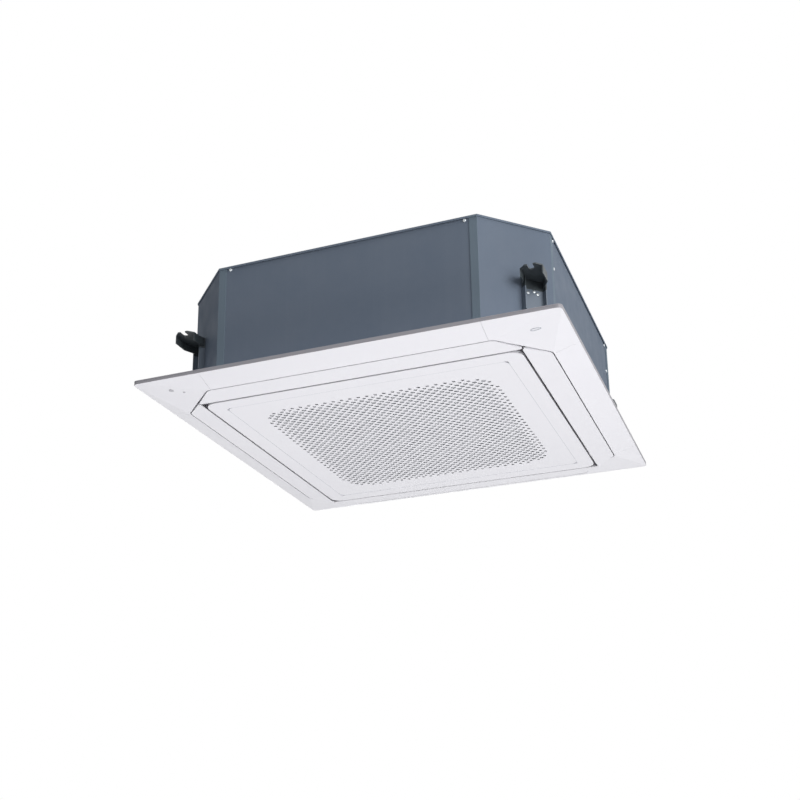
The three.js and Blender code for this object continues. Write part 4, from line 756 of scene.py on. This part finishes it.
# radius, and level from the sheet
SCREW_HEAD = ((0.0005, 0.0006), (0.0009, 0.0010), (0.0014, 0.0020), (0.0024, 0.0020), (0.0034, 0.0014),
              (0.0039, 0.0006), (0.0040, -0.0004), (0.0005, -0.0004))
SCREW_SIDES = 20
TOP_SCREWS = 0.272              # along each side, from its middle
TOP_SCREW_LEVEL = 0.2566
SIDE_SCREW = (0.277, 0.187)     # from the middle of the right or left side, and its level
SIDE_FACE = 0.4215
CORNER_FACE = 0.5133            # bracket's web, from the middle
BRACKET_SCREWS = ((0.024, 0.105), (0.039, 0.110), (0.047, 0.105))      # along the web, and level


def screw_places():
    """Where each screw sits and which way it faces."""
    for quarter in range(4):
        turn = Matrix.Rotation(quarter * math.pi / 2, 4, "Z")
        for x in (-TOP_SCREWS, TOP_SCREWS):
            yield turn @ Vector((x, -SIDE_FACE, TOP_SCREW_LEVEL)), turn @ Vector((0, -1, 0))
    for side in (-1, 1):
        for end in (-1, 1):
            yield Vector((side * SIDE_FACE, end * SIDE_SCREW[0], SIDE_SCREW[1])), Vector((side, 0, 0))
            for along, level in BRACKET_SCREWS:
                x = (CORNER_FACE + along) * math.sqrt(0.5)
                y = (CORNER_FACE - along) * math.sqrt(0.5)
                yield Vector((side * x, end * y, level)), Vector((side, end, 0)).normalized()


def add_screws():
    """Pan heads with a round recess along the casing's top edge, its sides and on the brackets."""
    mesh = bpy.data.meshes.new("screws")
    whole = bmesh.new()
    for place, out in screw_places():
        head = bpy.data.meshes.new("head")
        lathe(head, SCREW_HEAD, SCREW_SIDES)
        head.transform(Matrix.Translation(place) @ out.to_track_quat("Z", "Y").to_matrix().to_4x4())
        whole.from_mesh(head)
        bpy.data.meshes.remove(head)
    whole.to_mesh(mesh)
    whole.free()
    round_shading(new_piece("screws", mesh, "top_plate", slot="bare_steel"), SCREW_SMOOTH_ANGLE)


MARK_PLACE = (0.4099, -0.4210, -0.0185)
MARK_SIZE = (0.0105, 0.0040)    # half length and half height of the oval
MARK_SIDES = 48
MARK_SLOPE = math.atan2(0.017 * math.sqrt(2), 0.207)    # of the cover's facet, across the corner
MARK_STEPS = ((0.0008, -0.0003), (0.0008, 0.0004), (0.0004, 0.0006), (-0.0004, 0.0006),
              (-0.0008, 0.0004), (-0.0008, -0.0003))     # section of its ring: from the oval, and proud


def add_mark():
    """An oval ring set in the front right corner cover; its grey is painted shade for a pressed oval."""
    mesh = bpy.data.meshes.new("mark")
    bm = bmesh.new()
    rows = []
    for width, height in MARK_STEPS:
        turns = [2 * math.pi * k / MARK_SIDES for k in range(MARK_SIDES)]
        rows.append([bm.verts.new(((MARK_SIZE[0] + width) * math.cos(turn),
                                   (MARK_SIZE[1] + width) * math.sin(turn), height)) for turn in turns])
    for one, other in zip(rows, rows[1:] + rows[:1]):
        for k in range(MARK_SIDES):
            after = (k + 1) % MARK_SIDES
            bm.faces.new((one[k], one[after], other[after], other[k]))
    bmesh.ops.recalc_face_normals(bm, faces=bm.faces)
    bm.to_mesh(mesh)
    bm.free()
    lean = math.sin(MARK_SLOPE) * math.sqrt(0.5)
    out = Vector((lean, -lean, -math.cos(MARK_SLOPE)))
    across = Vector((1, 0, 0)) - out * out.x
    across.normalize()
    frame_of = Matrix((across, out.cross(across), out)).transposed().to_4x4()
    mesh.transform(Matrix.Translation(MARK_PLACE) @ frame_of)
    # the grey finish is painted shade for the pressed oval in the white cover
    new_piece("cover_mark", mesh, "corner_cover_front_right", slot="grey_plastic")


add_camera()
add_world()
add_floor()
for lamp in LAMPS:
    add_lamp(*lamp)
finish_cad_nodes()
add_perforated_plate()
add_plate_seam()
add_lining_net()
add_bell()
add_fan()
add_screws()
add_mark()

scene = bpy.context.scene
scene.view_settings.view_transform = "Standard"
